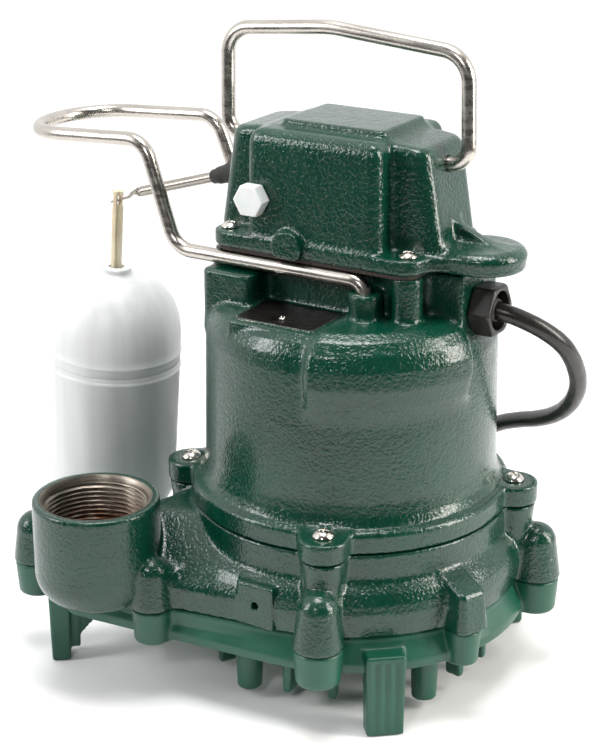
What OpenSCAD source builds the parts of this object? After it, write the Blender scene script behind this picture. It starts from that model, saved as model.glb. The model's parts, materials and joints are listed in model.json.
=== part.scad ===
// Submersible sump pump with a vertical float switch.
// The origin is on the motor axis at floor level; +Z is up, the float hangs on the -X side.

/* [Motor housing] */
// Outer radius of the motor housing barrel
barrel_r = 66; // [65:0.5:67]
// Height of the seam between the motor housing and the volute housing
seam_z = 81; // [80.5:0.5:81.5]
// Height of the shoulder that the neck stands on
shoulder_z = 174.5; // [174:0.5:175]

/* [Volute and base] */
// Outer radius of the volute's round part at its lower edge
volute_r = 78; // [77:0.5:79]
// Height of the seam between the volute housing and the base plate
base_z = 44; // [43.5:0.5:44.5]
// Radius of the threaded wall of the 1-1/2 inch pipe outlet
thread_r = 22.2; // [21.8:0.1:22.6]

/* [Switch case] */
// Height of the face that the switch case sits on
case_z = 198; // [197.5:0.5:198.5]
// Height of the main box's flat top
case_top_z = 253; // [252:0.5:254]

/* [Wires] */
// Diameter of the handle and float guard wire
wire_d = 6.35; // [6:0.05:6.4]

/* [Float] */
// Outer radius of the float
float_r = 32.8; // [31:0.1:33.5]
// Slope of the float arm at rest, in degrees below level
arm_slope = 17; // [17:0.5:18]

/* [Cord] */
// Diameter of the power cord
cord_d = 8; // [7:0.5:8.5]

/* [Hidden] */
$fn = 72;
eps = 0.01;
gap = 0.05;                      // clearance between pieces that are pushed together
slip = 0.3;                      // clearance between pieces that move past each other
green = "#0b4a33";

flange_top_z = 90.8;
flange_r = 72.7;
flange_screw_r = 75.2;
flange_screw_angles = [-69, 21, 111, 201];
gasket_t = 1.5;
neck_top_z = case_z - gasket_t;

outlet = [-80, -88.2];
outlet_r = 28.5;
outlet_top_z = 91.2;
corner = [-93, -78];             // centre of the round corner of the base outline
corner_r = 14;

// base screws: [angle, distance, boss radius at the seam, boss radius at its dome, dome top]
base_bosses = [[-69, 87, 11.5, 9, 70], [-23, 82.5, 8.5, 7, 66], [21, 87, 11.5, 9, 70],
               [66, 82.5, 8.5, 7, 66], [111, 87, 11.5, 9, 70], [156, 82.5, 8.5, 7, 66],
               [-121, 101, 10, 8, 68], [-149.5, 147, 11, 9, 68]];
base_bottom_z = 28.5;

case_screws = [[-48.5, -24.5], [-48.5, 24.5], [41, -25], [41, 25]];
hinge_z = 240.5;                 // height of the handle's hinge axis
pin_r = wire_d / 2 + 0.05;       // radius of the handle's round ends
arm_pivot = [-46, 0, 227.3];
hook = [-128.4, 0, 200.2];       // where the float rod hangs on the arm
float_lean = 4.3;
inner_arm = 16;                  // length of the arm inside the case
gland = [61.5, 2, 179];

stator_r = 58;
stator_z = [104, 146];
bore_r = 30;
shaft_r = 6.35;
bearing_r = 11;
impeller_r = 52;

coil_centre = [-95, 165];
coil_r = [27, 61];
coil_h = 24;
tie_t = 1.2;                     // thickness of the tie's strap
plug_start = [-150, 222.5, 14];

// route of the free cord from the gland to the coil, and from the coil to the plug
cord_route = [[52, 2, 179], [64, 2, 179], [73.9, 3.1, 177.9], [82.8, 6.3, 174.6], [89.9, 11.2, 169.6],
              [94.4, 17.5, 163.2], [96, 24.4, 156.1], [95.5, 32, 148], [93.5, 40, 139],
              [89.5, 48, 129.5], [83, 55.5, 120], [74, 63, 111.5], [62, 71, 104], [49, 78.5, 98],
              [36, 85, 91.5], [23, 91, 82.5], [11, 97, 70], [0, 103, 55], [-10, 109, 39],
              [-18, 115.5, 24.5], [-25.5, 124, 13], [-31.5, 134, 6.5], [-35.5, 145, 4.3], [-37.6, 156, 4.1]];
tail_route = [[-96, 222, 20.5], [-107, 222.3, 20.3], [-120, 222.5, 18.7], [-135, 222.5, 15.8], [-150, 222.5, 14]];

// ---------- helpers ----------

function unit(v) = v / norm(v);

// the points of a round bend of radius r at corner p, between the points a and b
function bend(a, p, b, r, n) =
    let (u = unit(a - p),
         v = unit(b - p),
         half = acos(u * v) / 2,
         centre = p + unit(u + v) * r / sin(half),
         start = p + u * r / tan(half) - centre,
         finish = p + v * r / tan(half) - centre,
         sweep = 180 - 2 * half)
    [for (i = [0:n]) centre + (sin((1 - i / n) * sweep) * start + sin(i / n * sweep) * finish) / sin(sweep)];

// a path through straight runs with round bends; each corner is [point, bend radius]
function bent_path(corners, n = 7) = [
    for (i = [0:len(corners) - 1])
        each (i == 0 || i == len(corners) - 1)
            ? [corners[i][0]]
            : bend(corners[i - 1][0], corners[i][0], corners[i + 1][0], corners[i][1], n)];

function path_tangent(p, i) = unit(p[min(i + 1, len(p) - 1)] - p[max(i - 1, 0)]);
function square_to(n, t) = unit(n - (n * t) * t);
function path_normals(p, n, i = 0) =
    i >= len(p) ? [] : let (m = square_to(n, path_tangent(p, i))) concat([m], path_normals(p, m, i + 1));

// a round tube of radius r swept along the points of a path
module tube(p, r, sides, first_normal) {
    normals = path_normals(p, first_normal);
    rings = len(p);
    points = [for (i = [0:rings - 1])
        let (t = path_tangent(p, i), n = normals[i], b = cross(t, n))
        for (k = [0:sides - 1])
            p[i] + r * (cos(k * 360 / sides) * n + sin(k * 360 / sides) * b)];
    skin = [for (i = [0:rings - 2]) for (k = [0:sides - 1])
        let (a = i * sides + k, b = i * sides + (k + 1) % sides)
        each [[a, a + sides, b], [b, a + sides, b + sides]]];
    caps = [[for (k = [0:sides - 1]) k], [for (k = [sides - 1:-1:0]) (rings - 1) * sides + k]];
    polyhedron(points = points, faces = concat(skin, caps), convexity = 10);
}

module rod_x(x1, x2, y, z, r) { translate([x1, y, z]) rotate([0, 90, 0]) cylinder(r = r, h = x2 - x1); }
module rod_y(y1, y2, x, z, r) { translate([x, y1, z]) rotate([-90, 0, 0]) cylinder(r = r, h = y2 - y1); }
module column(x, y, z1, z2, r) { translate([x, y, z1]) cylinder(r = r, h = z2 - z1); }
module polar(angle, distance) { translate([distance * cos(angle), distance * sin(angle), 0]) children(); }
module both_sides() { children(); mirror([0, 1, 0]) children(); }
module below(z) { translate([-200, -200, z - 60]) cube([400, 400, 60]); }

// a rectangle from [x1, y1] to [x2, y2] with round corners
module round_box(x1, x2, y, z1, z2, r) {
    translate([x1 + r, -y, z1]) cube([x2 - x1 - 2 * r, 2 * y, z2 - z1]);
    translate([x1, r - y, z1]) cube([x2 - x1, 2 * (y - r), z2 - z1]);
    for (x = [x1 + r, x2 - r]) for (side = [r - y, y - r]) column(x, side, z1, z2, r);
}

// a block with round vertical edges whose top edges are cut off at 45 degrees in steps
module soft_box(x1, x2, y, z1, z2, r, top_r) {
    for (a = [0, 30, 60, 90]) {
        inset = top_r * (1 - cos(a));
        round_box(x1 + inset, x2 - inset, y - inset, z1, z2 - top_r * (1 - sin(a)), max(r - inset, 1));
    }
}

// the plan of the volute: a large circle and the small corner circle with their common tangents
module volute_plan(big_r, small_r) {
    d = norm(corner);
    toward = atan2(corner[1], corner[0]);
    spread = acos((big_r - small_r) / d);
    function on(c, r, a) = [c[0] + r * cos(a), c[1] + r * sin(a)];
    circle(r = big_r);
    translate(corner) circle(r = small_r);
    polygon([on([0, 0], big_r - 0.05, toward + spread), on(corner, small_r - 0.05, toward + spread),
             on(corner, small_r - 0.05, toward - spread), on([0, 0], big_r - 0.05, toward - spread)]);
}

module screw_down(x, y, seat_z, head_r, head_h, shank_r, depth) {
    sphere_r = (head_r * head_r + head_h * head_h) / (2 * head_h);
    translate([x, y, seat_z]) difference() {
        union() {
            intersection() {
                translate([0, 0, head_h - sphere_r]) sphere(r = sphere_r);
                cylinder(r = head_r, h = head_h);
            }
            translate([0, 0, -depth]) cylinder(r = shank_r, h = depth + 0.5);
        }
        for (turn = [0, 90]) rotate([0, 0, turn + 20])
            translate([-head_r * 0.55, -0.55, head_h * 0.45]) cube([head_r * 1.1, 1.1, head_h]);
    }
}

// ---------- castings ----------

module barrel() {
    rotate_extrude() polygon([[0, seam_z - 2], [flange_r, seam_z - 2], [flange_r, flange_top_z - 1.2],
        [flange_r - 1.2, flange_top_z], [70, 91.4], [68.4, 93], [67.4, 96], [barrel_r + 0.6, 102],
        [barrel_r - 0.4, 160], [barrel_r - 1.2, 166], [barrel_r - 4, 171], [barrel_r - 9, shoulder_z], [0, shoulder_z]]);
}

// soft raised pad on the front of the barrel
module front_pad() {
    rotate([0, 0, -74]) rotate_extrude(angle = 58)
        polygon([[50, 140], [barrel_r - 1, 140], [barrel_r + 3.2, 147], [barrel_r + 4.4, 156],
                 [barrel_r + 3.6, 166], [barrel_r + 0.5, 172.5], [barrel_r - 4, 176], [50, 177]]);
}

module motor_housing() color(green) {
    difference() {
        union() {
            barrel();
            front_pad();
            for (a = flange_screw_angles) polar(a, flange_screw_r) {
                translate([0, 0, seam_z - 3]) cylinder(r = 11, h = flange_top_z - seam_z + 3);
                rotate([0, 0, a]) translate([-12, -10.9, seam_z - 4]) cube([12, 21.8, flange_top_z - seam_z + 4]);
            }
            round_box(-52, 45, 24.5, 160, neck_top_z, 9);
            for (s = case_screws) column(s[0], s[1], 165, neck_top_z, 6.5);
            both_sides() {
                column(24, -31, 165, 188.4, 7);
                translate([18.5, -31, 165]) cube([11, 10, 23.4]);
                translate([-55, -39, 160]) cube([26, 18, 28.5]);
            }
            translate([40, -14, 150]) cube([gland[0] - 40, 34, neck_top_z - 150]);
            translate([40, 2, 150]) rotate([0, 90, 0]) cylinder(r = 14, h = gland[0] - 40);
            // shelf that carries the nameplate
            translate([-28, -58, 150]) cube([42, 40, shoulder_z - 150]);
        }
        below(seam_z);
        // stator bore, the space over the windings and the opening into the neck
        column(0, 0, seam_z - 1, stator_z[1], stator_r + gap);
        column(0, 0, stator_z[1] - 1, 163, 54);
        translate([-44, -18, 170]) cube([80, 36, 40]);
        for (x = [-30, 25]) column(x, 0, 160, 175, 6);
        // gland hole with the seat of the gland nut
        rod_x(30, gland[0] + 1, gland[1], gland[2], 7.6);
        // flat face that the gland nut seats on
        translate([gland[0], -12, 156]) cube([20, 32, 60]);
        // channel for the guard wire, guard ends, screw holes
        both_sides() {
            rod_x(-80, 24, -31, 192.8, wire_d / 2 + 0.4);
            column(24, -31, 176 - gap, 200, wire_d / 2 + gap);
            column(24, -31, 185, 200, wire_d / 2 + 0.9);
        }
        for (s = case_screws) column(s[0], s[1], 176, 200, 2.1 + gap);
        for (a = flange_screw_angles) polar(a, flange_screw_r) {
            column(0, 0, seam_z - 1, 92, 2.6 + gap);
            column(0, 0, flange_top_z, 100, 5.6);
        }
        column(0, 0, 150, 166, bearing_r + gap);
        column(-8, -46, 168, 180, 1.2 + gap);
        // groove for the seal ring
        translate([0, 0, seam_z - 1]) difference() {
            cylinder(r = 68.5, h = 2.2);
            translate([0, 0, -1]) cylinder(r = 65.5, h = 5);
        }
    }
    // boss of the upper bearing
    difference() {
        column(0, 0, 153, 170, 15.5);
        column(0, 0, 150, 166, bearing_r + gap);
    }
}

module base_boss(b) {
    polar(b[0], b[1]) rotate_extrude() polygon(concat([[0, base_z - 3], [b[2] + 0.2, base_z - 3]],
        [for (a = [0:22.5:67.5]) [b[3] * cos(a), b[4] - b[3] * (1 - sin(a))]],
        [[b[3] * 0.12, b[4]], [0, b[4]]]));
    rotate([0, 0, b[0]]) translate([b[1] - 28, -b[3] * 0.8, base_z - 4])
        cube([28, b[3] * 1.6, b[4] - b[3] - base_z + 3.7]);
}

module volute_housing() color(green) {
    difference() {
        union() {
            // the round body: skirt, bulging roll, cove and the ring under the seam
            rotate_extrude() polygon([[0, base_z - 2], [volute_r - 0.3, base_z - 2], [volute_r + 1.4, 50], [volute_r + 2, 56],
                [volute_r + 1, 61], [volute_r - 2, 65], [volute_r - 4.6, 67], [flange_r, 69.5],
                [flange_r, seam_z - gap], [0, seam_z - gap]]);
            // duct that widens towards the outlet
            translate([0, 0, base_z - 1]) linear_extrude(13) volute_plan(volute_r, corner_r);
            translate([0, 0, base_z + 11]) linear_extrude(6) volute_plan(volute_r - 2, corner_r - 2.5);
            translate([0, 0, base_z + 16]) linear_extrude(5) volute_plan(volute_r - 6, corner_r - 6);
            hull() {
                translate([outlet[0] + 4, outlet[1] + 10, 60]) cylinder(r = 20, h = 14, $fn = 32);
                translate([-34, -44, 60]) cylinder(r = 20, h = 19, $fn = 32);
                translate([-50, -22, 60]) cylinder(r = 16, h = 14, $fn = 32);
            }
            // outlet boss with a round bottom, like a short elbow
            column(outlet[0], outlet[1], 70, outlet_top_z, outlet_r);
            intersection() {
                translate([outlet[0], outlet[1], 70]) sphere(r = outlet_r);
                translate([outlet[0] - 40, outlet[1] - 40, base_z - 0.5]) cube(80);
            }
            for (a = flange_screw_angles) polar(a, flange_screw_r) {
                translate([0, 0, 60]) cylinder(r1 = 8, r2 = 10.5, h = seam_z - 60 - gap);
            }
            for (b = base_bosses) base_boss(b);
            // flat pad with the vent hole
            rotate([0, 0, -91]) translate([60, -9, base_z - 5]) cube([20.5, 18, 23]);
        }
        below(base_z);
        // space for the impeller, open below
        column(0, 0, base_z - 1, 62, 60);
        translate([0, 0, base_z - 1]) linear_extrude(19) hull() {
            translate([-82, -72]) circle(r = 13, $fn = 32);
            translate([-24, -38]) circle(r = 22, $fn = 32);
        }
        translate([outlet[0], outlet[1], 70]) sphere(r = thread_r - 1);
        column(outlet[0], outlet[1], 69, 71, thread_r - 1.2);
        column(outlet[0], outlet[1], 70, 100, thread_r);
        translate([outlet[0], outlet[1], 88.6]) cylinder(r1 = thread_r, r2 = 25.2, h = 3);
        // oil chamber above, shaft seal recess and bore below
        difference() {
            column(0, 0, 72, seam_z + 1, 60);
            column(0, 0, 70, seam_z + 2, 20);
        }
        column(0, 0, 55, 66, 16);
        column(0, 0, 65, 72, 14 + gap);
        column(0, 0, 71, 90, 8.5);
        column(0, 0, 80, 100, bearing_r + gap);
        for (a = flange_screw_angles) polar(a, flange_screw_r) column(0, 0, 66, 100, 2.6 + gap);
        for (b = base_bosses) polar(b[0], b[1]) column(0, 0, 40, 58, 2.2 + gap);
        rotate([0, 0, -91]) rod_x(50, 90, 0, 54, 1.6);
    }
    // boss of the lower bearing, standing in the oil
    difference() {
        column(0, 0, seam_z - 1, 93, 16);
        column(0, 0, seam_z - 2, 94, bearing_r + gap);
    }
}

module leg(x, y, angle, w, flutes) {
    translate([x, y, 0]) rotate([0, 0, angle]) difference() {
        union() {
            translate([-6, -w / 2, 0]) cube([10, w, base_z - 6]);
            translate([-10, -w / 4, 6]) cube([8, w / 2, base_z - 16]);
        }
        for (k = [0:1:flutes - 1])
            translate([4, (k - (flutes - 1) / 2) * 4.4, 2]) cylinder(r = 1.3, h = base_z - 10);
    }
}

module base_plate() color("#0f6044") {
    rim_r = volute_r + 4;
    difference() {
        union() {
            translate([0, 0, base_z - 4]) linear_extrude(4 - gap) volute_plan(volute_r, corner_r);
            translate([0, 0, base_z - 7]) linear_extrude(4) volute_plan(volute_r + 2, corner_r - 0.5);
            translate([0, 0, base_bottom_z + 2]) linear_extrude(base_z - 8 - base_bottom_z)
                volute_plan(rim_r, corner_r - 2);
            translate([0, 0, base_bottom_z]) linear_extrude(3) volute_plan(rim_r - 1, corner_r - 3);
            for (b = base_bosses) polar(b[0], b[1])
                translate([0, 0, base_bottom_z]) cylinder(r1 = b[2] - 2, r2 = b[2] - 1, h = base_z - base_bottom_z - gap);
            for (b = base_bosses) rotate([0, 0, b[0]])
                translate([b[1] - 30, 2 - b[3], base_bottom_z + 1])
                    cube([30, 2 * b[3] - 4, base_z - base_bottom_z - 2]);
            leg(54.2, -63.5, -49.5, 17.6, 3);
            leg(54.2, 63.5, 49.5, 17.6, 3);
            leg(-58, 60, 134, 17.6, 3);
            leg(-109.7, -82.5, -143, 12, 0);
            rotate([0, 0, -143]) translate([104, -2, 14]) cube([30, 4, 20]);
        }
        // hollow underside, then the eye that feeds the impeller
        translate([0, 0, base_bottom_z - 1]) linear_extrude(10) volute_plan(rim_r - 6, corner_r - 8);
        column(0, 0, 20, 60, 25);
        for (b = base_bosses) polar(b[0], b[1]) column(0, 0, 20, 60, 2.2 + gap);
    }
    // strainer pegs round the intake, every fourth one a stout post
    for (k = [0:19]) rotate([0, 0, k * 18 + 6])
        if (k % 4 != 2) translate([60, -2.4, 8]) cube([9, 4.8, base_z - 14]);
        else column(67, 0, 5, base_z - 6, 6.5);
}

module case_plan_solid(z1, z2) {
    round_box(-55, 48, 33, z1, z2, 9);
    // tongue over the cord gland
    translate([40, -18, z1]) cube([24, 36, z2 - z1]);
    column(64, 0, z1, z2, 18);
    both_sides() translate([0, 0, z1]) linear_extrude(z2 - z1) difference() {
        polygon([[40, -29], [47.5, -25], [60, -14], [40, -14]]);
        translate([61, -33]) circle(r = 15.4);
    }
}

module switch_case() color(green) difference() {
    union() {
        case_plan_solid(case_z, 205);
        // end faces lean in towards the top
        hull() {
            for (s = [-1, 1]) {
                column(-50.5, s * 11.5, 204, 206, 8);
                column(45, s * 11.5, 204, 206, 8);
                column(-43.5, s * 12, 248, 249, 8);
                column(37.5, s * 12, 248, 249, 8);
            }
        }
        soft_box(-36.7, 30, 31.8, 200, case_top_z, 6, 5);
        soft_box(-47, 41, 18, 230, case_top_z - 1.2, 6, 4);
        // shallow raised plate on the top, left blank
        hull() {
            translate([-26, -22, case_top_z - 1]) cube([52, 44, 1]);
            translate([-23, -18, case_top_z]) cube([46, 36, 2.5]);
        }
        // half-round boss at the foot of the front wall
        intersection() {
            rod_y(-37, -25, -12.7, 202.7, 7.5);
            translate([-25, -40, case_z]) cube([25, 20, 20]);
        }
        // rib from the end wall down to the tongue
        hull() {
            translate([44, -2.5, 204]) cube([8, 5, 15]);
            translate([44, -2.5, 204]) cube([32, 5, 1.5]);
        }
        translate([64, 0, 204.5]) cylinder(r1 = 17, r2 = 12, h = 2.6);
    }
    // cavity
    round_box(-32, 25.5, 27.3, case_z - 1, 248, 4);
    round_box(-50, 44, 14.5, case_z - 1, 232, 4);
    round_box(-43, 37, 13, 230, 248, 4);
    // underside of the tongue is hollow
    difference() {
        column(64, 0, case_z - 1, 202, 14);
        translate([40, -20, 190]) cube([14, 40, 20]);
    }
    for (s = case_screws) column(s[0], s[1], 190, 230, 2.1 + gap);
    for (s = case_screws) column(s[0], s[1], 205, 230, 4.6);
    rod_x(-60, -38, 0, hinge_z, pin_r + gap);
    rod_x(32, 60, 0, hinge_z, pin_r + gap);
    rod_x(-70, -48, 0, arm_pivot[2], 7);
    rod_y(-40, -20, -30.5, 222.1, 5 + gap);
}

module case_gasket() color("#2b1c17") translate([0, 0, neck_top_z]) difference() {
    round_box(-53, 46, 32, 0, gasket_t, 8);
    round_box(-43.5, 36, 17.5, -1, gasket_t + 1, 3);
    for (s = case_screws) column(s[0], s[1], -1, 5, 2.1 + gap);
}

module housing_seal() color("black") translate([0, 0, seam_z]) difference() {
    cylinder(r = 68.4, h = 1.15);
    translate([0, 0, -1]) cylinder(r = 65.6, h = 4);
}

// ---------- fasteners and trim ----------

module case_screws() color("silver") for (s = case_screws) screw_down(s[0], s[1], 205, 4.3, 2.6, 2.1, 27);

module housing_screws() color("silver")
    for (a = flange_screw_angles)
        polar(a, flange_screw_r) screw_down(0, 0, flange_top_z, 5, 3.2, 2.6, 24);

module base_screws() color("silver")
    for (b = base_bosses)
        polar(b[0], b[1]) mirror([0, 0, 1]) screw_down(0, 0, -base_bottom_z, 4, 2.4, 2.2, 28);

module nameplate() color("#28221f") difference() {
    translate([-27.5, -54, shoulder_z + gap]) cube([39, 29, 0.6]);
    column(-8, -46, 170, 180, 1.2 + gap);
}

module nameplate_rivet() color("silver") screw_down(-8, -46, shoulder_z + 0.7, 2, 1, 1.2, 6);

module case_plug() color("white") {
    translate([-30.5, -31.8 - gap, 222.1]) rotate([90, 0, 0]) cylinder(r = 7.6, h = 6.5, $fn = 6);
    rod_y(-39.3, -38, -30.5, 222.1, 5.6);
    rod_y(-38, -27, -30.5, 222.1, 5);
}

module gland_nut() color("#1c1816") difference() {
    union() {
        translate([gland[0] + gap, gland[1], gland[2]]) rotate([0, 90, 0]) cylinder(r = 12.2, h = 10.5, $fn = 6);
        rod_x(46, gland[0] + 1, gland[1], gland[2], 7.5);
    }
    rod_x(40, 80, gland[1], gland[2], cord_d / 2 + 2);
    rod_x(gland[0] + 4, 80, gland[1], gland[2], 8.6);
}

module cord_grommet() color("black") difference() {
    union() {
        rod_x(48, gland[0] + 4, gland[1], gland[2], cord_d / 2 + 1.9);
        rod_x(gland[0] + 4 + gap, gland[0] + 6, gland[1], gland[2], 8.4);
        rod_x(gland[0] + 3.9, gland[0] + 6, gland[1], gland[2], cord_d / 2 + 1.9);
    }
    rod_x(40, 80, gland[1], gland[2], cord_d / 2 + gap);
}

// ---------- wires ----------

module float_guard() color("silver") tube(bent_path([
        [[24, -31, 176], 0], [[24, -31, 192.8], 7], [[-73.5, -31, 192.8], 12], [[-91, -29, 239.8], 12],
        [[-165, -28, 235], 27.4], [[-165, 28, 235], 27.4], [[-91, 29, 239.8], 12],
        [[-73.5, 31, 192.8], 12], [[24, 31, 192.8], 7], [[24, 31, 176], 0]]),
    wire_d / 2, 12, [1, 0, 0]);

module handle() color("silver") {
    tube(bent_path([
            [[-48, 0, hinge_z], 0], [[-64.9, 0, hinge_z], 9], [[-64.3, 0, 288], 12.5], [[-12, 0, 292.8], 60],
            [[54.2, 0, 287.2], 13], [[55.8, 0, hinge_z], 8.5], [[42, 0, hinge_z], 0]]),
        wire_d / 2, 12, [0, 0, 1]);
    // round pins that turn in the case
    rod_x(-55, -45, 0, hinge_z, pin_r);
    rod_x(39, 46.8, 0, hinge_z, pin_r);
}

// ---------- cord ----------

module power_cord() color("black") tube(cord_route, cord_d / 2, 10, [0, 0, 1]);

module cord_coil() color("black") translate([coil_centre[0], coil_centre[1], 0]) difference() {
    rotate_extrude()
        polygon([[coil_r[0], 3], [coil_r[0] + 3, 0], [coil_r[1] - 3, 0], [coil_r[1], 3],
                 [coil_r[1], coil_h - 3], [coil_r[1] - 3, coil_h], [coil_r[0] + 3, coil_h], [coil_r[0], coil_h - 3]]);
    // the tie squeezes the turns off the floor
    translate([-coil_r[1] - 1, -4.5, -1]) cube([coil_r[1] - coil_r[0] + 2, 9, 1 + tie_t + gap]);
}

// a hook-and-loop strap round the turns
module cord_tie() color("black") translate([coil_centre[0], coil_centre[1] - 4, 0]) difference() {
    translate([-coil_r[1] - 2, 0, 0]) cube([coil_r[1] - coil_r[0] + 4, 8, coil_h + 2 * tie_t]);
    translate([-coil_r[1] - 0.3, -1, tie_t]) cube([coil_r[1] - coil_r[0] + 0.8, 10, coil_h]);
}

module cord_tail() color("black") tube(tail_route, cord_d / 2, 10, [0, 0, 1]);

module plug_body() color("black") translate(plug_start) rotate([0, 0, 180]) {
    rotate([0, 90, 0]) cylinder(r1 = 7, r2 = 12.5, h = 12);
    translate([12, 0, 0]) rotate([0, 90, 0]) cylinder(r = 13.5, h = 20);
}

module plug_blades() color("gold") translate(plug_start) rotate([0, 0, 180]) {
    for (y = [-6.35, 6.35]) translate([32, y - 0.75, -3]) cube([16, 1.5, 6.3]);
    translate([32, 0, -8.5]) rotate([0, 90, 0]) cylinder(r = 2.4, h = 19);
}

// ---------- motor ----------

module ring(r_out, r_in, z1, z2) {
    translate([0, 0, z1]) difference() {
        cylinder(r = r_out, h = z2 - z1);
        translate([0, 0, -1]) cylinder(r = r_in, h = z2 - z1 + 2);
    }
}

module stator_core() color("gray") difference() {
    ring(stator_r, bore_r, stator_z[0], stator_z[1]);
    for (k = [0:23]) rotate([0, 0, k * 15]) translate([34, -2, 100]) cube([12, 4, 60]);
}

module stator_windings() color("#b87333") {
    ring(52, 36, 88, stator_z[0]);
    ring(52, 36, stator_z[1], 161);
}

module overload_protector() color("#333333") translate([40, -6, 161]) cube([10, 12, 1.8]);

module lead_wires() color("white") {
    tube([[-30, 0, 161], [-30, 0, 176], [-28, -3, 190], [-18, -7.5, 199], [-16, -8, 204], [-16, -8, 209.5]],
        1.5, 8, [1, 0, 0]);
    tube([[46, 2, 179], [38, 2, 180], [30, 0, 185], [18, -5, 194], [12.5, -7.5, 199], [12, -8, 204],
        [12, -8, 209.5]], 2, 8, [0, 0, 1]);
}

module rotor_core() color("gray") ring(bore_r - 0.5, shaft_r, stator_z[0], stator_z[1]);

module rotor_end_rings() color("silver") {
    ring(bore_r - 1.5, 16, 99, stator_z[0]);
    ring(bore_r - 1.5, 16, stator_z[1], 151);
}

module motor_shaft() color("lightgray") {
    column(0, 0, 49, stator_z[0], shaft_r);
    column(0, 0, stator_z[0] - 1, stator_z[1] + 1, shaft_r - eps);
    column(0, 0, stator_z[1], 165, shaft_r);
    column(0, 0, 95.2, stator_z[0] - gap, 9);
}

module upper_bearing() color("goldenrod") ring(bearing_r, shaft_r + gap, 155, 166 - gap);
module lower_bearing() color("goldenrod") ring(bearing_r, shaft_r + gap, 80 + gap, 93);
module thrust_washer() color("goldenrod") ring(13, shaft_r + 0.1, 93 + gap, 95);
module seal_seat() color("white") ring(14, 8, 66, 72 - gap);
module seal_head() color("#222222") ring(12, shaft_r, 62.6, 66 - gap);

module seal_spring() color("silver") {
    turns = 2.25;
    steps = 40;
    tube([for (i = [0:steps]) let (a = i / steps * turns * 360)
            [9.5 * cos(a), 9.5 * sin(a), 59.2 + i / steps * 2.7]], 0.6, 8, [0, 0, 1]);
}

module impeller() color("#3a3a3a") difference() {
    union() {
        column(0, 0, 55, 58.5, impeller_r);
        column(0, 0, 47, 58, 11);
        // swept-back vanes under the disc, each in two straight parts
        for (k = [0:5]) rotate([0, 0, k * 60]) {
            translate([8, -1.5, 47.5]) cube([22, 3, 9]);
            translate([29, -1.4, 47.6]) rotate([0, 0, -28]) cube([20, 2.8, 9]);
        }
    }
    column(0, 0, 49 - gap, 60, shaft_r + eps);
}

// ---------- switch ----------

module switch_body() color("#222222") difference() {
    union() {
        translate([-20, -15, 209.6]) cube([34, 30, 32]);
        both_sides() translate([-33, -9, 212]) cube([14, 3.2, 29]);
    }
    for (y = [-11, 11]) column(6, y, 200, 216, 1.6);
}

module switch_bracket() color("silver") difference() {
    translate([-24, -26.8, 208]) cube([47, 53.6, 1.5]);
    for (x = [-16, 12]) column(x, -8, 200, 215, 3.2);
    for (y = [-11, 11]) column(6, y, 200, 215, 1.5 + gap);
}

module switch_screws() color("silver")
    for (y = [-11, 11]) mirror([0, 0, 1]) screw_down(6, y, -208, 2.8, 1.8, 1.5, 7);

module switch_slide() color("ivory") {
    ball = arm_pivot + inner_arm * [cos(arm_slope), 0, sin(arm_slope)];
    translate([ball[0], 0, ball[2]]) difference() {
        translate([-3.6, -5.4, -6.5]) cube([13.5 - 3.4, 10.8, 13]);
        // the ball moves 0.7 towards the back of the slot on its arc
        translate([-4, -7, -2.6 - slip]) cube([4 + 2.6 + slip + 0.8, 14, 5.2 + 2 * slip]);
    }
}

module arm_bracket() color("silver") difference() {
    union() {
        translate([-49.9, -10, 217]) cube([1.3, 20, 14.5]);
        both_sides() translate([-49.8, -7, 221]) cube([9, 1.5, 10.5]);
    }
    rod_x(-60, -40, 0, arm_pivot[2], 6.2);
    rod_y(-20, 20, arm_pivot[0], arm_pivot[2], 1.5 + gap);
}

module arm_pivot_pin() color("silver") rod_y(-8.5, 8.5, arm_pivot[0], arm_pivot[2], 1.5);

// ---------- float ----------

// draws its children in the arm's frame: the pivot is at the origin and the arm runs along -X
module on_arm() { translate(arm_pivot) rotate([0, -arm_slope, 0]) children(); }

module float_arm() color("silver") {
    difference() {
        union() {
            on_arm() {
                rod_x(-78, 0, 0, 0, 2.38);
                rod_x(0, inner_arm, 0, 0, 1.4);
                translate([inner_arm, 0, 0]) sphere(r = 2.6);
            }
            rod_y(-4.5, 4.5, arm_pivot[0], arm_pivot[2], 4);
        }
        rod_y(-10, 10, arm_pivot[0], arm_pivot[2], 1.5 + gap);
    }
    // flattened tip that the float rod hangs on
    translate(hook) rotate([0, -20, 0]) translate([-4.4, -1.1, -0.6]) cube([16, 2.2, 1.2]);
}

module arm_boot() color("black") difference() {
    on_arm() {
        translate([-29, 0, 0]) rotate([0, 90, 0]) cylinder(r1 = 3.1, r2 = 5.4, h = 14.3);
    }
    on_arm() rod_x(-40, 0, 0, 0, 2.38);
}

// draws its children in the float's frame: the hook is at the origin and the rod runs down -Z
module on_float() { translate(hook) rotate([0, float_lean, 0]) children(); }

collar_z = -33;
joint_z = -79;
float_bottom_z = -158;

// radius of the float's dome at a height below its collar
function dome_r(z) = let (t = max(0, (z + 70) / 35)) float_r * pow(1 - pow(min(t, 1), 2.3), 1 / 2.3);

module float_rod() color("#e6dfbe") on_float() difference() {
    union() {
        translate([-2.8, -1, -45]) cube([5.6, 2, 50]);
        translate([-1, -2.8, -45]) cube([2, 5.6, 50]);
    }
    translate([-5, -1.4, -2.4]) cube([10, 2.8, 4.8]);
}

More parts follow.
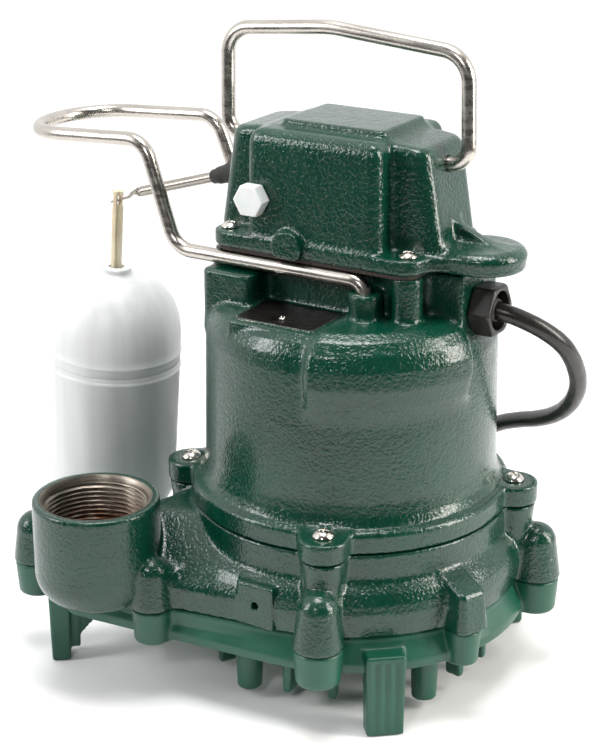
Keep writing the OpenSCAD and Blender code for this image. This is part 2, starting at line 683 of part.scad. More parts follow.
module float_upper_shell() color("white") on_float() difference() {
    rotate_extrude() {
        polygon(concat([[0, joint_z], [float_r, joint_z], [float_r, -75], [float_r + 0.5, -74.4],
                        [float_r + 0.5, -73.4], [float_r, -72.8]],
                       [for (z = [-70:3:-38]) [dome_r(z), z]],
                       [[8.1, -36.2], [7.4, -35.4], [7.4, collar_z], [0, collar_z]]));
    }
    rotate_extrude() {
        polygon(concat([[0, joint_z - 1], [float_r - 2, joint_z - 1]],
                       [for (z = [-70:3:-40]) [max(dome_r(z) - 2, 0), z - 1.5]], [[0, -42]]));
    }
    translate([-2.9, -1.1, -60]) cube([5.8, 2.2, 40]);
    translate([-1.1, -2.9, -60]) cube([2.2, 5.8, 40]);
}

module float_lower_shell() color("white") on_float() difference() {
    rotate_extrude() polygon(concat([[0, joint_z - gap], [float_r, joint_z - gap], [float_r, -81],
        [float_r + 0.5, -81.8], [float_r + 0.5, -83], [float_r, -83.8]],
        [for (a = [0:15:90]) [float_r - 14 * (1 - cos(a)), float_bottom_z + 14 * (1 - sin(a))]],
        [[0, float_bottom_z]]));
    rotate_extrude() polygon(concat([[0, joint_z + 1], [float_r - 2, joint_z + 1]],
        [for (a = [0:30:90]) [float_r - 2 - 12 * (1 - cos(a)), float_bottom_z + 2 + 12 * (1 - sin(a))]],
        [[0, float_bottom_z + 2]]));
}

motor_housing();
volute_housing();
base_plate();
switch_case();
case_gasket();
case_screws();
housing_seal();
housing_screws();
base_screws();
float_guard();
handle();
nameplate();
nameplate_rivet();
case_plug();
gland_nut();
cord_grommet();
power_cord();
cord_coil();
cord_tie();
cord_tail();
plug_body();
plug_blades();
stator_core();
stator_windings();
overload_protector();
lead_wires();
rotor_core();
rotor_end_rings();
motor_shaft();
upper_bearing();
lower_bearing();
thrust_washer();
seal_seat();
seal_head();
seal_spring();
impeller();
switch_body();
switch_bracket();
switch_screws();
switch_slide();
arm_bracket();
arm_pivot_pin();
float_arm();
arm_boot();
float_rod();
float_upper_shell();
float_lower_shell();
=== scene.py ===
"""The looks of a submersible sump pump with a vertical float switch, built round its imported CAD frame."""
import json
import math

import bmesh
import bpy
import numpy as np
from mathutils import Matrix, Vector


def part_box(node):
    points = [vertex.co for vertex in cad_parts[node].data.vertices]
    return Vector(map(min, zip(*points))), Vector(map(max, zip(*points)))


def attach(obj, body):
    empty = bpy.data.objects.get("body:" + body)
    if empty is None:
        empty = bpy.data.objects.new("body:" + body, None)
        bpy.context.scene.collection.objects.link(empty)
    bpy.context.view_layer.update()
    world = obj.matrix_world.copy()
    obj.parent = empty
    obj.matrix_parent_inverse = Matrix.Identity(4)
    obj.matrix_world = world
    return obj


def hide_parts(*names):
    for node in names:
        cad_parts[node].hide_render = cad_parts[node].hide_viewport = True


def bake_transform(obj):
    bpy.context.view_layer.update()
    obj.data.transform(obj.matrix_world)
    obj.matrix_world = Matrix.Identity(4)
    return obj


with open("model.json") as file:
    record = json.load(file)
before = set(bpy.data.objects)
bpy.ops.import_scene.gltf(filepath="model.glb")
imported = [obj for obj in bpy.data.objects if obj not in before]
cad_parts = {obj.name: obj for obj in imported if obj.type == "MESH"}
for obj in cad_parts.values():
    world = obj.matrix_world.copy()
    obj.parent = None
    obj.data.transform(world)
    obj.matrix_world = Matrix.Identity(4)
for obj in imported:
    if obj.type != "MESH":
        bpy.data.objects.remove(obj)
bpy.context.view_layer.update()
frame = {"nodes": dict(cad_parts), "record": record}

import openvdb as vdb
from mathutils import Matrix, Vector

# ---------- driving dimensions, in millimetres as in the CAD source ----------

MM = 0.001
BARREL_R = 66
SEAM_Z = 81
FLANGE_TOP_Z = 90.8
FLANGE_R = 72.7
SHOULDER_Z = 174.5
NECK_TOP_Z = 196.5
VOLUTE_R = 78
BASE_Z = 44
BASE_BOTTOM_Z = 28.5
OUTLET = (-80, -88.2)
OUTLET_R = 28.5
OUTLET_TOP_Z = 91.2
THREAD_R = 22.2
THREAD_PITCH = 25.4 / 11.5
CORNER = (-93, -78)
CORNER_R = 14
FLANGE_SCREW_R = 75.2
FLANGE_SCREW_ANGLES = (-69, 21, 111, 201)
CASE_Z = 198
CASE_TOP_Z = 253
CASE_SCREWS = ((-48.5, -24.5), (-48.5, 24.5), (41, -25), (41, 25))
# base screws: angle, distance, boss radius at the seam, boss radius at its dome, dome top
BASE_BOSSES = ((-69, 87, 11.5, 9, 70), (-23, 82.5, 8.5, 7, 66), (21, 87, 11.5, 9, 70),
               (66, 82.5, 8.5, 7, 66), (111, 87, 11.5, 9, 70), (156, 82.5, 8.5, 7, 66),
               (-121, 101, 10, 8, 68), (-149.5, 147, 11, 9, 68))
WIRE_R = 3.175
HINGE_Z = 240.5
CASE_PLUG = (-30.5, 222.1)
BEARING_R = 11.05
ARM_PIVOT = (-46, 0, 227.3)
ARM_SLOPE = 17
HOOK = (-128.4, 0, 200.2)
FLOAT_LEAN = 4.3
FLOAT_R = 32.8
GLAND = (61.5, 2, 179)
CORD_R = 4
COIL_CENTRE = (-95, 165)
PLUG_START = (-150, 222.5, 14)


def polar(angle, distance):
    return distance * math.cos(math.radians(angle)), distance * math.sin(math.radians(angle))


# ---------- camera ----------

def make_camera():
    data = bpy.data.cameras.new("camera")
    data.lens = 89.26
    data.sensor_width = 36
    camera = bpy.data.objects.new("camera", data)
    camera.location = (0.3935, -0.6920, 0.4324)
    camera.rotation_euler = (math.radians(69.517), 0, math.radians(31.3))
    bpy.context.scene.collection.objects.link(camera)
    bpy.context.scene.camera = camera


make_camera()

# ---------- materials ----------


class Paint:
    """A node material built round one Principled shader. Coordinates are the object's own, in metres."""

    def __init__(self, name, **values):
        self.material = bpy.data.materials.new(name)
        self.material.use_nodes = True
        self.tree = self.material.node_tree
        self.shader = self.tree.nodes["Principled BSDF"]
        self.place = self.tree.nodes.new("ShaderNodeTexCoord").outputs["Object"]
        for socket, value in values.items():
            self.shader.inputs[socket.replace("_", " ")].default_value = value

    def noise(self, scale, detail=2.0, stretch=(1, 1, 1), rough=0.5, warp=0.0):
        stretched = self.tree.nodes.new("ShaderNodeMapping")
        stretched.inputs["Scale"].default_value = stretch
        self.tree.links.new(self.place, stretched.inputs["Vector"])
        node = self.tree.nodes.new("ShaderNodeTexNoise")
        node.inputs["Scale"].default_value = scale
        node.inputs["Detail"].default_value = detail
        node.inputs["Roughness"].default_value = rough
        node.inputs["Distortion"].default_value = warp
        self.tree.links.new(stretched.outputs["Vector"], node.inputs["Vector"])
        return node.outputs["Fac"]

    def ramp(self, value, *stops):
        node = self.tree.nodes.new("ShaderNodeValToRGB")
        elements = node.color_ramp.elements
        while len(elements) < len(stops):
            elements.new(0.5)
        for element, (position, colour) in zip(elements, stops):
            element.position = position
            element.color = (*colour, 1)
        self.tree.links.new(value, node.inputs["Fac"])
        return node.outputs["Color"]

    def span(self, value, low, high, from_low=0.3, from_high=0.7):
        node = self.tree.nodes.new("ShaderNodeMapRange")
        node.inputs["From Min"].default_value = from_low
        node.inputs["From Max"].default_value = from_high
        node.inputs["To Min"].default_value = low
        node.inputs["To Max"].default_value = high
        self.tree.links.new(value, node.inputs["Value"])
        return node.outputs["Result"]

    def height(self, axis, low, high):
        """0 below low and 1 above high along an axis, in millimetres."""
        split = self.tree.nodes.new("ShaderNodeSeparateXYZ")
        self.tree.links.new(self.place, split.inputs["Vector"])
        return self.span(split.outputs[axis], 0, 1, low * MM, high * MM)

    def mix(self, factor, a, b):
        node = self.tree.nodes.new("ShaderNodeMix")
        node.data_type = "RGBA"
        self.tree.links.new(factor, node.inputs["Factor"])
        for socket, colour in (("A", a), ("B", b)):
            target = [i for i in node.inputs if i.name == socket and i.type == "RGBA"][0]
            if isinstance(colour, tuple):
                target.default_value = (*colour, 1)
            else:
                self.tree.links.new(colour, target)
        return [o for o in node.outputs if o.type == "RGBA"][0]

    def set(self, socket, value):
        self.tree.links.new(value, self.shader.inputs[socket])
        return self

    def bump(self, *layers):
        """Each layer is a height, a strength and a depth in millimetres."""
        normal = None
        for value, strength, depth in layers:
            node = self.tree.nodes.new("ShaderNodeBump")
            node.inputs["Strength"].default_value = strength
            node.inputs["Distance"].default_value = depth * MM
            self.tree.links.new(value, node.inputs["Height"])
            if normal:
                self.tree.links.new(normal, node.inputs["Normal"])
            normal = node.outputs["Normal"]
        return self.set("Normal", normal)


def cast_enamel():
    p = Paint("cast_enamel", Coat_Weight=0.25, Coat_Roughness=0.10)
    cloud = p.noise(38, 3)
    peel = p.noise(680, 1.5, rough=0.5, warp=0.5)
    green = p.ramp(cloud, (0.3, (0.001, 0.030, 0.017)), (0.7, (0.001, 0.043, 0.024)))
    p.set("Base Color", p.mix(p.span(peel, 0, 0.35, 0.55, 0.75), green, (0.004, 0.062, 0.037)))
    p.set("Roughness", p.span(p.noise(210, 3), 0.17, 0.26))
    return p.bump((p.noise(110, 2), 0.3, 0.6), (peel, 0.8, 0.5)).material


def base_enamel_painted_sheen():
    p = Paint("base_enamel_painted_sheen", Coat_Weight=0.15, Coat_Roughness=0.3)
    # the plate's own green plus painted sheen: painted about twice as light as the castings' green to stand in for the
    # sheen of its satin finish
    green = p.ramp(p.noise(45, 4), (0.3, (0.002, 0.060, 0.033)), (0.7, (0.003, 0.080, 0.045)))
    p.set("Base Color", green)
    p.set("Roughness", p.span(p.noise(160, 3), 0.34, 0.46))
    return p.bump((p.noise(140, 2), 0.3, 0.15), (p.noise(900, 2), 0.2, 0.06)).material


def machined_iron():
    p = Paint("machined_iron", Metallic=0.85)
    rings = p.noise(60, 3, stretch=(1, 1, 22))
    grey = p.ramp(rings, (0.3, (0.16, 0.135, 0.11)), (0.7, (0.34, 0.30, 0.255)))
    rust = p.ramp(p.noise(170, 4), (0.42, (0.09, 0.035, 0.015)), (0.62, (0.22, 0.17, 0.13)))
    p.set("Base Color", p.mix(p.height("Z", 71, 86), rust, grey))
    p.set("Roughness", p.span(p.noise(300, 3), 0.30, 0.48))
    return p.bump((rings, 0.3, 0.08)).material


def stainless(name, streak, tint=(0.60, 0.56, 0.51), rough=0.2):
    p = Paint(name, Metallic=1.0)
    drawn = p.noise(420, 3, stretch=streak)
    warm = tuple(c * 0.82 for c in tint)
    p.set("Base Color", p.ramp(drawn, (0.3, warm), (0.7, tint)))
    p.set("Roughness", p.span(drawn, rough, rough + 0.14))
    return p.bump((drawn, 0.12, 0.04)).material


def dark_plate():
    p = Paint("etched_plate", Metallic=0.9)
    grain = p.noise(900, 3, stretch=(0.25, 1, 1))
    p.set("Base Color", p.ramp(grain, (0.3, (0.012, 0.010, 0.010)), (0.75, (0.07, 0.062, 0.06))))
    p.set("Roughness", p.span(p.noise(500, 3), 0.28, 0.5))
    return p.bump((grain, 0.2, 0.03)).material


def moulded(name, dark, light, rough=(0.4, 0.55), grain=500, depth=0.05, **values):
    p = Paint(name, **values)
    p.set("Base Color", p.ramp(p.noise(90, 3), (0.3, dark), (0.7, light)))
    p.set("Roughness", p.span(p.noise(240, 3), *rough))
    return p.bump((p.noise(grain, 3), 0.35, depth)).material


def metal(name, dark, light, rough=(0.25, 0.4), streak=(1, 1, 1), depth=0.05):
    p = Paint(name, Metallic=1.0)
    grain = p.noise(260, 3, stretch=streak)
    p.set("Base Color", p.ramp(grain, (0.3, dark), (0.7, light)))
    p.set("Roughness", p.span(grain, *rough))
    return p.bump((grain, 0.25, depth)).material


def blown_plastic():
    p = Paint("blown_plastic", Subsurface_Weight=0.35, Subsurface_Scale=0.004, IOR=1.5,
              Subsurface_Radius=(1.0, 0.9, 0.8))
    streaks = p.noise(120, 4, stretch=(1, 1, 0.05))
    clouds = p.noise(24, 3)
    white = p.ramp(streaks, (0.3, (0.66, 0.67, 0.67)), (0.7, (0.80, 0.81, 0.81)))
    p.set("Base Color", p.mix(p.span(clouds, 0, 0.5), white, (0.72, 0.73, 0.735)))
    p.set("Roughness", p.span(p.noise(70, 3), 0.30, 0.42))
    return p.bump((streaks, 0.22, 0.12), (p.noise(600, 2), 0.12, 0.03)).material


def laminations():
    p = Paint("lamination_steel", Metallic=1.0)
    sheets = p.noise(60, 2, stretch=(0.5, 0.5, 28))
    p.set("Base Color", p.ramp(sheets, (0.4, (0.07, 0.075, 0.085)), (0.6, (0.26, 0.265, 0.28))))
    p.set("Roughness", p.span(sheets, 0.35, 0.55))
    return p.bump((sheets, 0.5, 0.15)).material


def gasket_sheet():
    p = Paint("gasket_sheet")
    fibres = p.noise(750, 4, stretch=(1, 1, 0.3))
    p.set("Base Color", p.ramp(fibres, (0.35, (0.014, 0.009, 0.007)), (0.7, (0.06, 0.04, 0.03))))
    p.set("Roughness", p.span(fibres, 0.6, 0.85))
    return p.bump((fibres, 0.6, 0.15)).material


# the dark and light colour, and then the roughness, grain or streak, and depth where not the usual ones
MOULDED = {
    "black_rubber": ((0.010, 0.009, 0.009), (0.028, 0.025, 0.023), (0.5, 0.7), 420, 0.08),
    "white_nylon": ((0.74, 0.77, 0.76), (0.86, 0.88, 0.87), (0.25, 0.4), 350, 0.04),
    "black_nylon": ((0.010, 0.008, 0.007), (0.024, 0.019, 0.017), (0.26, 0.42), 520, 0.07),
    "cord_jacket": ((0.010, 0.009, 0.008), (0.022, 0.019, 0.017), (0.24, 0.36), 160, 0.06),
    "wire_insulation": ((0.55, 0.53, 0.50), (0.75, 0.73, 0.70)),
    "ceramic": ((0.62, 0.60, 0.55), (0.76, 0.75, 0.71), (0.18, 0.3)),
    "carbon": ((0.012, 0.012, 0.013), (0.04, 0.04, 0.042), (0.25, 0.45)),
    "impeller_plastic": ((0.020, 0.019, 0.018), (0.045, 0.043, 0.041)),
    "rod_plastic": ((0.60, 0.55, 0.38), (0.74, 0.69, 0.52), (0.3, 0.45), 300, 0.06),
}
TRANSLUCENT = {
    "white_nylon": {"Subsurface_Weight": 0.25, "Subsurface_Scale": 0.002},
    "rod_plastic": {"Subsurface_Weight": 0.3, "Subsurface_Scale": 0.003},
}
METALS = {
    "brass": ((0.52, 0.37, 0.15), (0.80, 0.62, 0.30), (0.2, 0.34)),
    "copper": ((0.36, 0.13, 0.05), (0.72, 0.33, 0.16), (0.25, 0.42), (1, 1, 14), 0.3),
    "aluminium": ((0.44, 0.45, 0.46), (0.66, 0.67, 0.68), (0.32, 0.5)),
    "ground_steel": ((0.46, 0.46, 0.47), (0.68, 0.68, 0.68), (0.12, 0.26), (0.4, 0.4, 9)),
    "bronze": ((0.35, 0.20, 0.08), (0.60, 0.38, 0.17), (0.35, 0.5)),
}
MATERIALS = {
    "green_iron": cast_enamel(),
    "green_plastic": base_enamel_painted_sheen(),
    "gasket": gasket_sheet(),
    "stainless": stainless("stainless", (1, 1, 1), (0.72, 0.68, 0.62), 0.14),
    "stainless_wire": stainless("stainless_wire", (0.12, 1, 1)),
    "arm_steel": stainless("arm_steel", (0.1, 1, 1), (0.42, 0.385, 0.34), 0.26),
    "etched_plate": dark_plate(),
    "lamination_steel": laminations(),
    "float_plastic": blown_plastic(),
    **{name: moulded(name, *values, **TRANSLUCENT.get(name, {})) for name, values in MOULDED.items()},
    **{name: metal(name, *values) for name, values in METALS.items()},
}
SLOT_OF_NODE = {part["node"]: part["material_slot"] for part in frame["record"]["subparts"]}


def dress_cad_nodes():
    for name, node in frame["nodes"].items():
        node.data.materials.clear()
        node.data.materials.append(MATERIALS[SLOT_OF_NODE[name]])


# ---------- pieces ----------

def add_piece(name, mesh, slot, body, replaces=(), smooth=True, material=None):
    mesh.materials.append(material or MATERIALS[slot])
    piece = bpy.data.objects.new(name, mesh)
    bpy.context.scene.collection.objects.link(piece)
    if smooth:
        mesh.shade_smooth()
    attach(piece, body)
    if replaces:
        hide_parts(*replaces)
    return piece


def mesh_from(name, points, faces):
    mesh = bpy.data.meshes.new(name)
    mesh.from_pydata([tuple(c * MM for c in p) for p in points], [], faces)
    mesh.update()
    return mesh


def band(i, j, sides):
    """The quads between the rings of points i and j."""
    following = [(k + 1) % sides for k in range(sides)]
    return [(i * sides + k, i * sides + n, j * sides + n, j * sides + k) for k, n in enumerate(following)]


def sharpen(mesh, degrees):
    """Smooth shading everywhere except across edges sharper than this."""
    mesh.shade_smooth()
    mesh.set_sharp_from_angle(angle=math.radians(degrees))
    return mesh


# ---------- castings: distance fields, in millimetres ----------

class Space:
    """A block of points, a step apart, at which a casting's distance field is worked out."""

    def __init__(self, low, high, step):
        self.low = [a - 3 * step for a in low]
        self.step = step
        axes = [np.arange(a, b + 3 * step, step, dtype=np.float32) for a, b in zip(self.low, high)]
        self.x, self.y, self.z = np.meshgrid(*axes, indexing="ij", sparse=True)

    def slab(self, plan, z1, z2, edge=0.0):
        """The plan's distance field between two heights, with edges rounded by edge."""
        out = plan + edge
        up = np.abs(self.z - (z1 + z2) / 2) - (z2 - z1) / 2 + edge
        return np.minimum(np.maximum(out, up), 0) + np.hypot(np.maximum(out, 0), np.maximum(up, 0)) - edge

    def disc(self, x, y, r):
        return np.hypot(self.x - x, self.y - y) - r

    def column(self, x, y, z1, z2, r, edge=0.0):
        return self.slab(self.disc(x, y, r), z1, z2, edge)

    def turned(self, angle):
        """The plan's coordinates along and across a direction."""
        c, s = math.cos(math.radians(angle)), math.sin(math.radians(angle))
        return self.x * c + self.y * s, self.y * c - self.x * s

    def plan_box(self, x1, x2, y1, y2, r=0.0, angle=0):
        along, across = self.turned(angle)
        dx = np.abs(along - (x1 + x2) / 2) - (x2 - x1) / 2 + r
        dy = np.abs(across - (y1 + y2) / 2) - (y2 - y1) / 2 + r
        return np.minimum(np.maximum(dx, dy), 0) + np.hypot(np.maximum(dx, 0), np.maximum(dy, 0)) - r

    def box(self, x1, x2, y1, y2, z1, z2, r=0.0, edge=0.0, angle=0):
        return self.slab(self.plan_box(x1, x2, y1, y2, r, angle), z1, z2, edge)

    def rod_x(self, x1, x2, y, z, r, edge=0.0):
        out = np.hypot(self.y - y, self.z - z) - r + edge
        along = np.abs(self.x - (x1 + x2) / 2) - (x2 - x1) / 2 + edge
        return np.minimum(np.maximum(out, along), 0) + np.hypot(np.maximum(out, 0), np.maximum(along, 0)) - edge

    def teardrop(self, big_r, small_r):
        """The plan of the volute: a large and a small circle with their common tangents."""
        length = math.hypot(*CORNER)
        angle = math.degrees(math.atan2(CORNER[1], CORNER[0]))
        along, across = self.turned(angle)
        across = np.abs(across)
        b = (big_r - small_r) / length
        a = math.sqrt(1 - b * b)
        side = along * a - across * b
        flat = across * a + along * b - big_r
        near = np.hypot(across, along) - big_r
        far = np.hypot(across, along - length) - small_r
        return np.where(side < 0, near, np.where(side > a * length, far, flat))

    def revolve(self, outline, x=0, y=0):
        """A solid of revolution about a vertical axis, from an outline of (radius, height)."""
        radii = np.arange(0, 150, 0.5)
        heights = self.z.ravel()
        table = outline_distance(radii[:, None], heights[None, :], outline)
        r = np.hypot(self.x - x, self.y - y)[..., 0]
        layers = [np.interp(r, radii, table[:, k]) for k in range(len(heights))]
        return np.stack(layers, axis=-1).astype(np.float32)


def outline_distance(x, y, outline):
    """Signed distance to a closed polygon, negative inside."""
    closest = np.full(np.broadcast(x, y).shape, 1e9)
    inside = np.zeros(closest.shape, bool)
    for (ax, ay), (bx, by) in zip(outline, outline[1:] + outline[:1]):
        ex, ey = bx - ax, by - ay
        t = np.clip(((x - ax) * ex + (y - ay) * ey) / (ex * ex + ey * ey), 0, 1)
        # the axis of revolution isn't a surface
        if ax > 0 or bx > 0:
            closest = np.minimum(closest, np.hypot(x - ax - t * ex, y - ay - t * ey))
        if ay != by:
            crosses = (ay <= y) != (by <= y)
            inside ^= crosses & (x < ax + (y - ay) / (by - ay) * ex)
    return np.where(inside, -closest, closest)


def join(a, b, fillet=0.0):
    if not fillet:
        return np.minimum(a, b)
    h = np.clip(0.5 + 0.5 * (b - a) / fillet, 0, 1)
    return b + (a - b) * h - fillet * h * (1 - h)


def cut(a, b, edge=0.0):
    return -join(-a, b, edge)


def common(a, b, edge=0.0):
    return -join(-a, -b, edge)


def hexagon(u, v):
    """Distance from the axis, measured square to the flats of a hexagon."""
    flats = np.abs(v), np.abs(v * 0.5 + u * 0.866), np.abs(v * 0.5 - u * 0.866)
    return np.maximum.reduce(np.broadcast_arrays(*flats))


def skin(name, space, field):
    """The surface of a distance field as a mesh of quads."""
    grid = vdb.FloatGrid(4.0)
    grid.copyFromArray(np.ascontiguousarray(np.clip(field, -4, 4), dtype=np.float32))
    points, quads = grid.convertToQuads(0.0)
    points = (points * space.step + np.array(space.low)) * MM
    mesh = bpy.data.meshes.new(name)
    mesh.vertices.add(len(points))
    mesh.vertices.foreach_set("co", points.astype(np.float32).ravel())
    mesh.loops.add(len(quads) * 4)
    mesh.loops.foreach_set("vertex_index", quads[:, ::-1].astype(np.int32).ravel())
    mesh.polygons.add(len(quads))
    mesh.polygons.foreach_set("loop_start", np.arange(0, len(quads) * 4, 4, dtype=np.int32))
    mesh.update(calc_edges=True)
    mesh.validate()
    return mesh


def motor_housing(s):
    f = s.revolve([(0, SEAM_Z), (FLANGE_R, SEAM_Z), (FLANGE_R, FLANGE_TOP_Z - 1.2), (71.6, FLANGE_TOP_Z),
                   (69, 92), (67.4, 96), (BARREL_R + 0.6, 102), (BARREL_R - 0.4, 160), (BARREL_R - 1.4, 166),
                   (BARREL_R - 4.4, 171.5), (BARREL_R - 9, SHOULDER_Z), (0, SHOULDER_Z)])
    # lobes for the four housing screws
    for angle in FLANGE_SCREW_ANGLES:
        x, y = polar(angle, FLANGE_SCREW_R)
        lobe = s.column(x, y, SEAM_Z, FLANGE_TOP_Z, 11, 1.2)
        root = s.box(55, FLANGE_SCREW_R, -10.8, 10.8, SEAM_Z, FLANGE_TOP_Z, edge=1.2, angle=angle)
        f = join(f, join(lobe, root, 1.0), 3.0)
    # raised pad on the front of the barrel, with a soft step below it
    reach = np.maximum(14.5 - s.x, s.y + 13)
    pad = s.revolve([(0, 138), (BARREL_R - 3, 138), (BARREL_R + 2.4, 146), (BARREL_R + 4.2, 154),
                     (BARREL_R + 4.0, 163), (BARREL_R + 2.2, 169), (BARREL_R - 2, 174), (BARREL_R - 7, 176.5),
                     (0, 176.5)])
    pad = common(pad, reach + 0 * s.z, 5.0)
    f = join(f, pad, 4.0)
    # neck under the switch case, its screw bosses and the guard posts
    f = join(f, s.box(-52, 45, -24.5, 24.5, 160, NECK_TOP_Z, 9, 1.0), 3.0)
    for x, y in CASE_SCREWS:
        f = join(f, s.column(x, y, 165, NECK_TOP_Z, 6.5, 0.8), 2.5)
    for side in (-1, 1):
        y1, y2 = sorted((31 * side, 21 * side))
        post = join(s.column(24, 31 * side, 165, 188.4, 7.2, 1.2), s.box(19, 29, y1, y2, 165, 188.4, 1, 1.2), 1.5)
        f = join(f, post, 2.5)
        y1, y2 = sorted((39 * side, 21 * side))
        f = join(f, s.box(-55, -29, y1, y2, 160, 188.5, 4, 1.6), 2.5)
    # flat-faced gland boss
    f = join(f, s.box(38, GLAND[0], -14, 20, 150, NECK_TOP_Z, 2, 1.2), 3.0)
    f = join(f, s.rod_x(38, GLAND[0], 2, 150, 14, 1.2), 4.0)
    # shelf that carries the nameplate
    shelf = s.box(-29, 14, -58, -18, 150, SHOULDER_Z, 1, 0.5)
    shelf = common(shelf, s.column(0, 0, 100, 190, BARREL_R - 1.5), 1.0)
    f = join(f, shelf, 1.0)
    f = common(f, SEAM_Z - s.z, 0.8)
    # inside: the stator bore, the space over the windings and the way up into the neck
    f = cut(f, s.column(0, 0, SEAM_Z - 5, 146, 58.1))
    f = cut(f, s.column(0, 0, 145, 163, 54))
    f = join(f, s.column(0, 0, 153, 170, 15.5))
    f = cut(f, s.box(-44, 36, -18, 18, 170, 210))
    f = cut(f, s.column(0, 0, 150, 166, BEARING_R))
    f = cut(f, s.rod_x(30, 70, GLAND[1], GLAND[2], 7.7))
    for side in (-1, 1):
        f = cut(f, s.rod_x(-80, 24, 31 * side, 192.8, WIRE_R + 0.5))
        f = cut(f, s.column(24, 31 * side, 176, 200, WIRE_R + 0.5))
    for x, y in CASE_SCREWS:
        f = cut(f, s.column(x, y, 176, 200, 2.2))
    for angle in FLANGE_SCREW_ANGLES:
        x, y = polar(angle, FLANGE_SCREW_R)
        f = cut(f, s.column(x, y, SEAM_Z - 3, 92, 2.7))
        f = cut(f, s.column(x, y, FLANGE_TOP_Z, 100, 5.6), 0.5)
    return f


def volute_housing(s):
    f = s.revolve([(0, BASE_Z), (VOLUTE_R - 0.3, BASE_Z), (VOLUTE_R + 1.4, 50), (VOLUTE_R + 2, 55),
                   (VOLUTE_R + 1.2, 60), (VOLUTE_R - 1, 64), (VOLUTE_R - 4.6, 67.5), (FLANGE_R, 69.5),
                   (FLANGE_R, SEAM_Z - 0.4), (0, SEAM_Z - 0.4)])
    # duct that widens towards the outlet, under a slope that rises to the ring
    slope = np.maximum(s.z - 54, 0)
    inset = slope * slope / (slope + 9) * 1.5
    duct = common((s.teardrop(VOLUTE_R, CORNER_R) + inset) / 1.25, s.z - 79, 3.0)
    duct = common(duct, BASE_Z - s.z)
    f = join(f, duct, 3.0)
    # outlet boss, rounded under like a short elbow
    wall = s.disc(OUTLET[0], OUTLET[1], OUTLET_R)
    bowl = np.hypot(np.maximum(wall + 15, 0), np.maximum(57 - s.z, 0)) - 15
    boss = common(np.maximum(np.where(s.z < 57, bowl, wall), wall), s.z - OUTLET_TOP_Z, 1.6)
    boss = common(boss, BASE_Z - s.z)
    f = join(f, boss, 2.5)
    for angle in FLANGE_SCREW_ANGLES:
        x, y = polar(angle, FLANGE_SCREW_R)
        post = common(s.disc(x, y, 8) - (s.z - 60) * 0.11, np.maximum(s.z - SEAM_Z + 0.4, 58 - s.z), 1.0)
        f = join(f, post, 3.0)
    for angle, distance, low_r, dome_r, top in BASE_BOSSES:
        x, y = polar(angle, distance)
        steep = (low_r - dome_r) / (top - dome_r - BASE_Z)
        side = s.disc(x, y, dome_r) - np.maximum(top - dome_r - s.z, 0) * steep
        dome = np.hypot(s.disc(x, y, 0), np.maximum(s.z - top + dome_r, 0)) - dome_r
        dome = np.where(s.z > top - dome_r, dome, side)
        if low_r < 9:
            # slim ridges with a flat sloping top
            ridge = s.plan_box(52, distance + dome_r, -dome_r, dome_r, 2.5, angle)
            ridge = ridge - np.maximum(60 - s.z, 0) * 0.1
            along, _ = s.turned(angle)
            dome = common(ridge, s.z - 66.5 + (along - 77) * 0.32, 2.5)
        else:
            root = s.plan_box(50, distance, -dome_r * 0.9, dome_r * 0.9, 1, angle)
            dome = join(dome, common(root, s.z - top + dome_r * 0.7, 5.0), 3.0)
        f = join(f, common(dome, BASE_Z - s.z), 2.2)
    # flat pad with the vent hole
    f = join(f, s.box(60, 80.7, -9.5, 9.5, BASE_Z, 64.5, 1, 1.0, angle=-91), 1.2)
    f = common(f, BASE_Z - s.z, 0.5)
    along, across = s.turned(-91)
    f = cut(f, np.maximum(np.hypot(across, s.z - 54.5) - 1.7, 50 - along))
    # inside: the impeller space, the duct, the threaded mouth and the oil chamber
    f = cut(f, s.column(0, 0, 30, 62, 60))
    f = cut(f, common((s.teardrop(VOLUTE_R - 18, 13) + inset) / 1.25, s.z - 62, 2.0))
    f = cut(f, s.column(OUTLET[0], OUTLET[1], 66, 95, 24.9))
    f = cut(f, np.hypot(s.disc(OUTLET[0], OUTLET[1], 0), s.z - 68) - 19)
    chamber = cut(s.column(0, 0, 72, 90, 60), s.column(0, 0, 60, 95, 20))
    f = cut(f, chamber)
    f = join(f, s.column(0, 0, SEAM_Z - 1, 93, 16))
    f = cut(f, s.column(0, 0, 55, 66, 16))
    f = cut(f, s.column(0, 0, 60, 72, 14.1))
    f = cut(f, s.column(0, 0, 60, 90, 8.5))
    f = cut(f, s.column(0, 0, 80, 100, BEARING_R))
    for angle in FLANGE_SCREW_ANGLES:
        f = cut(f, s.column(*polar(angle, FLANGE_SCREW_R), 66, 100, 2.7))
    return f


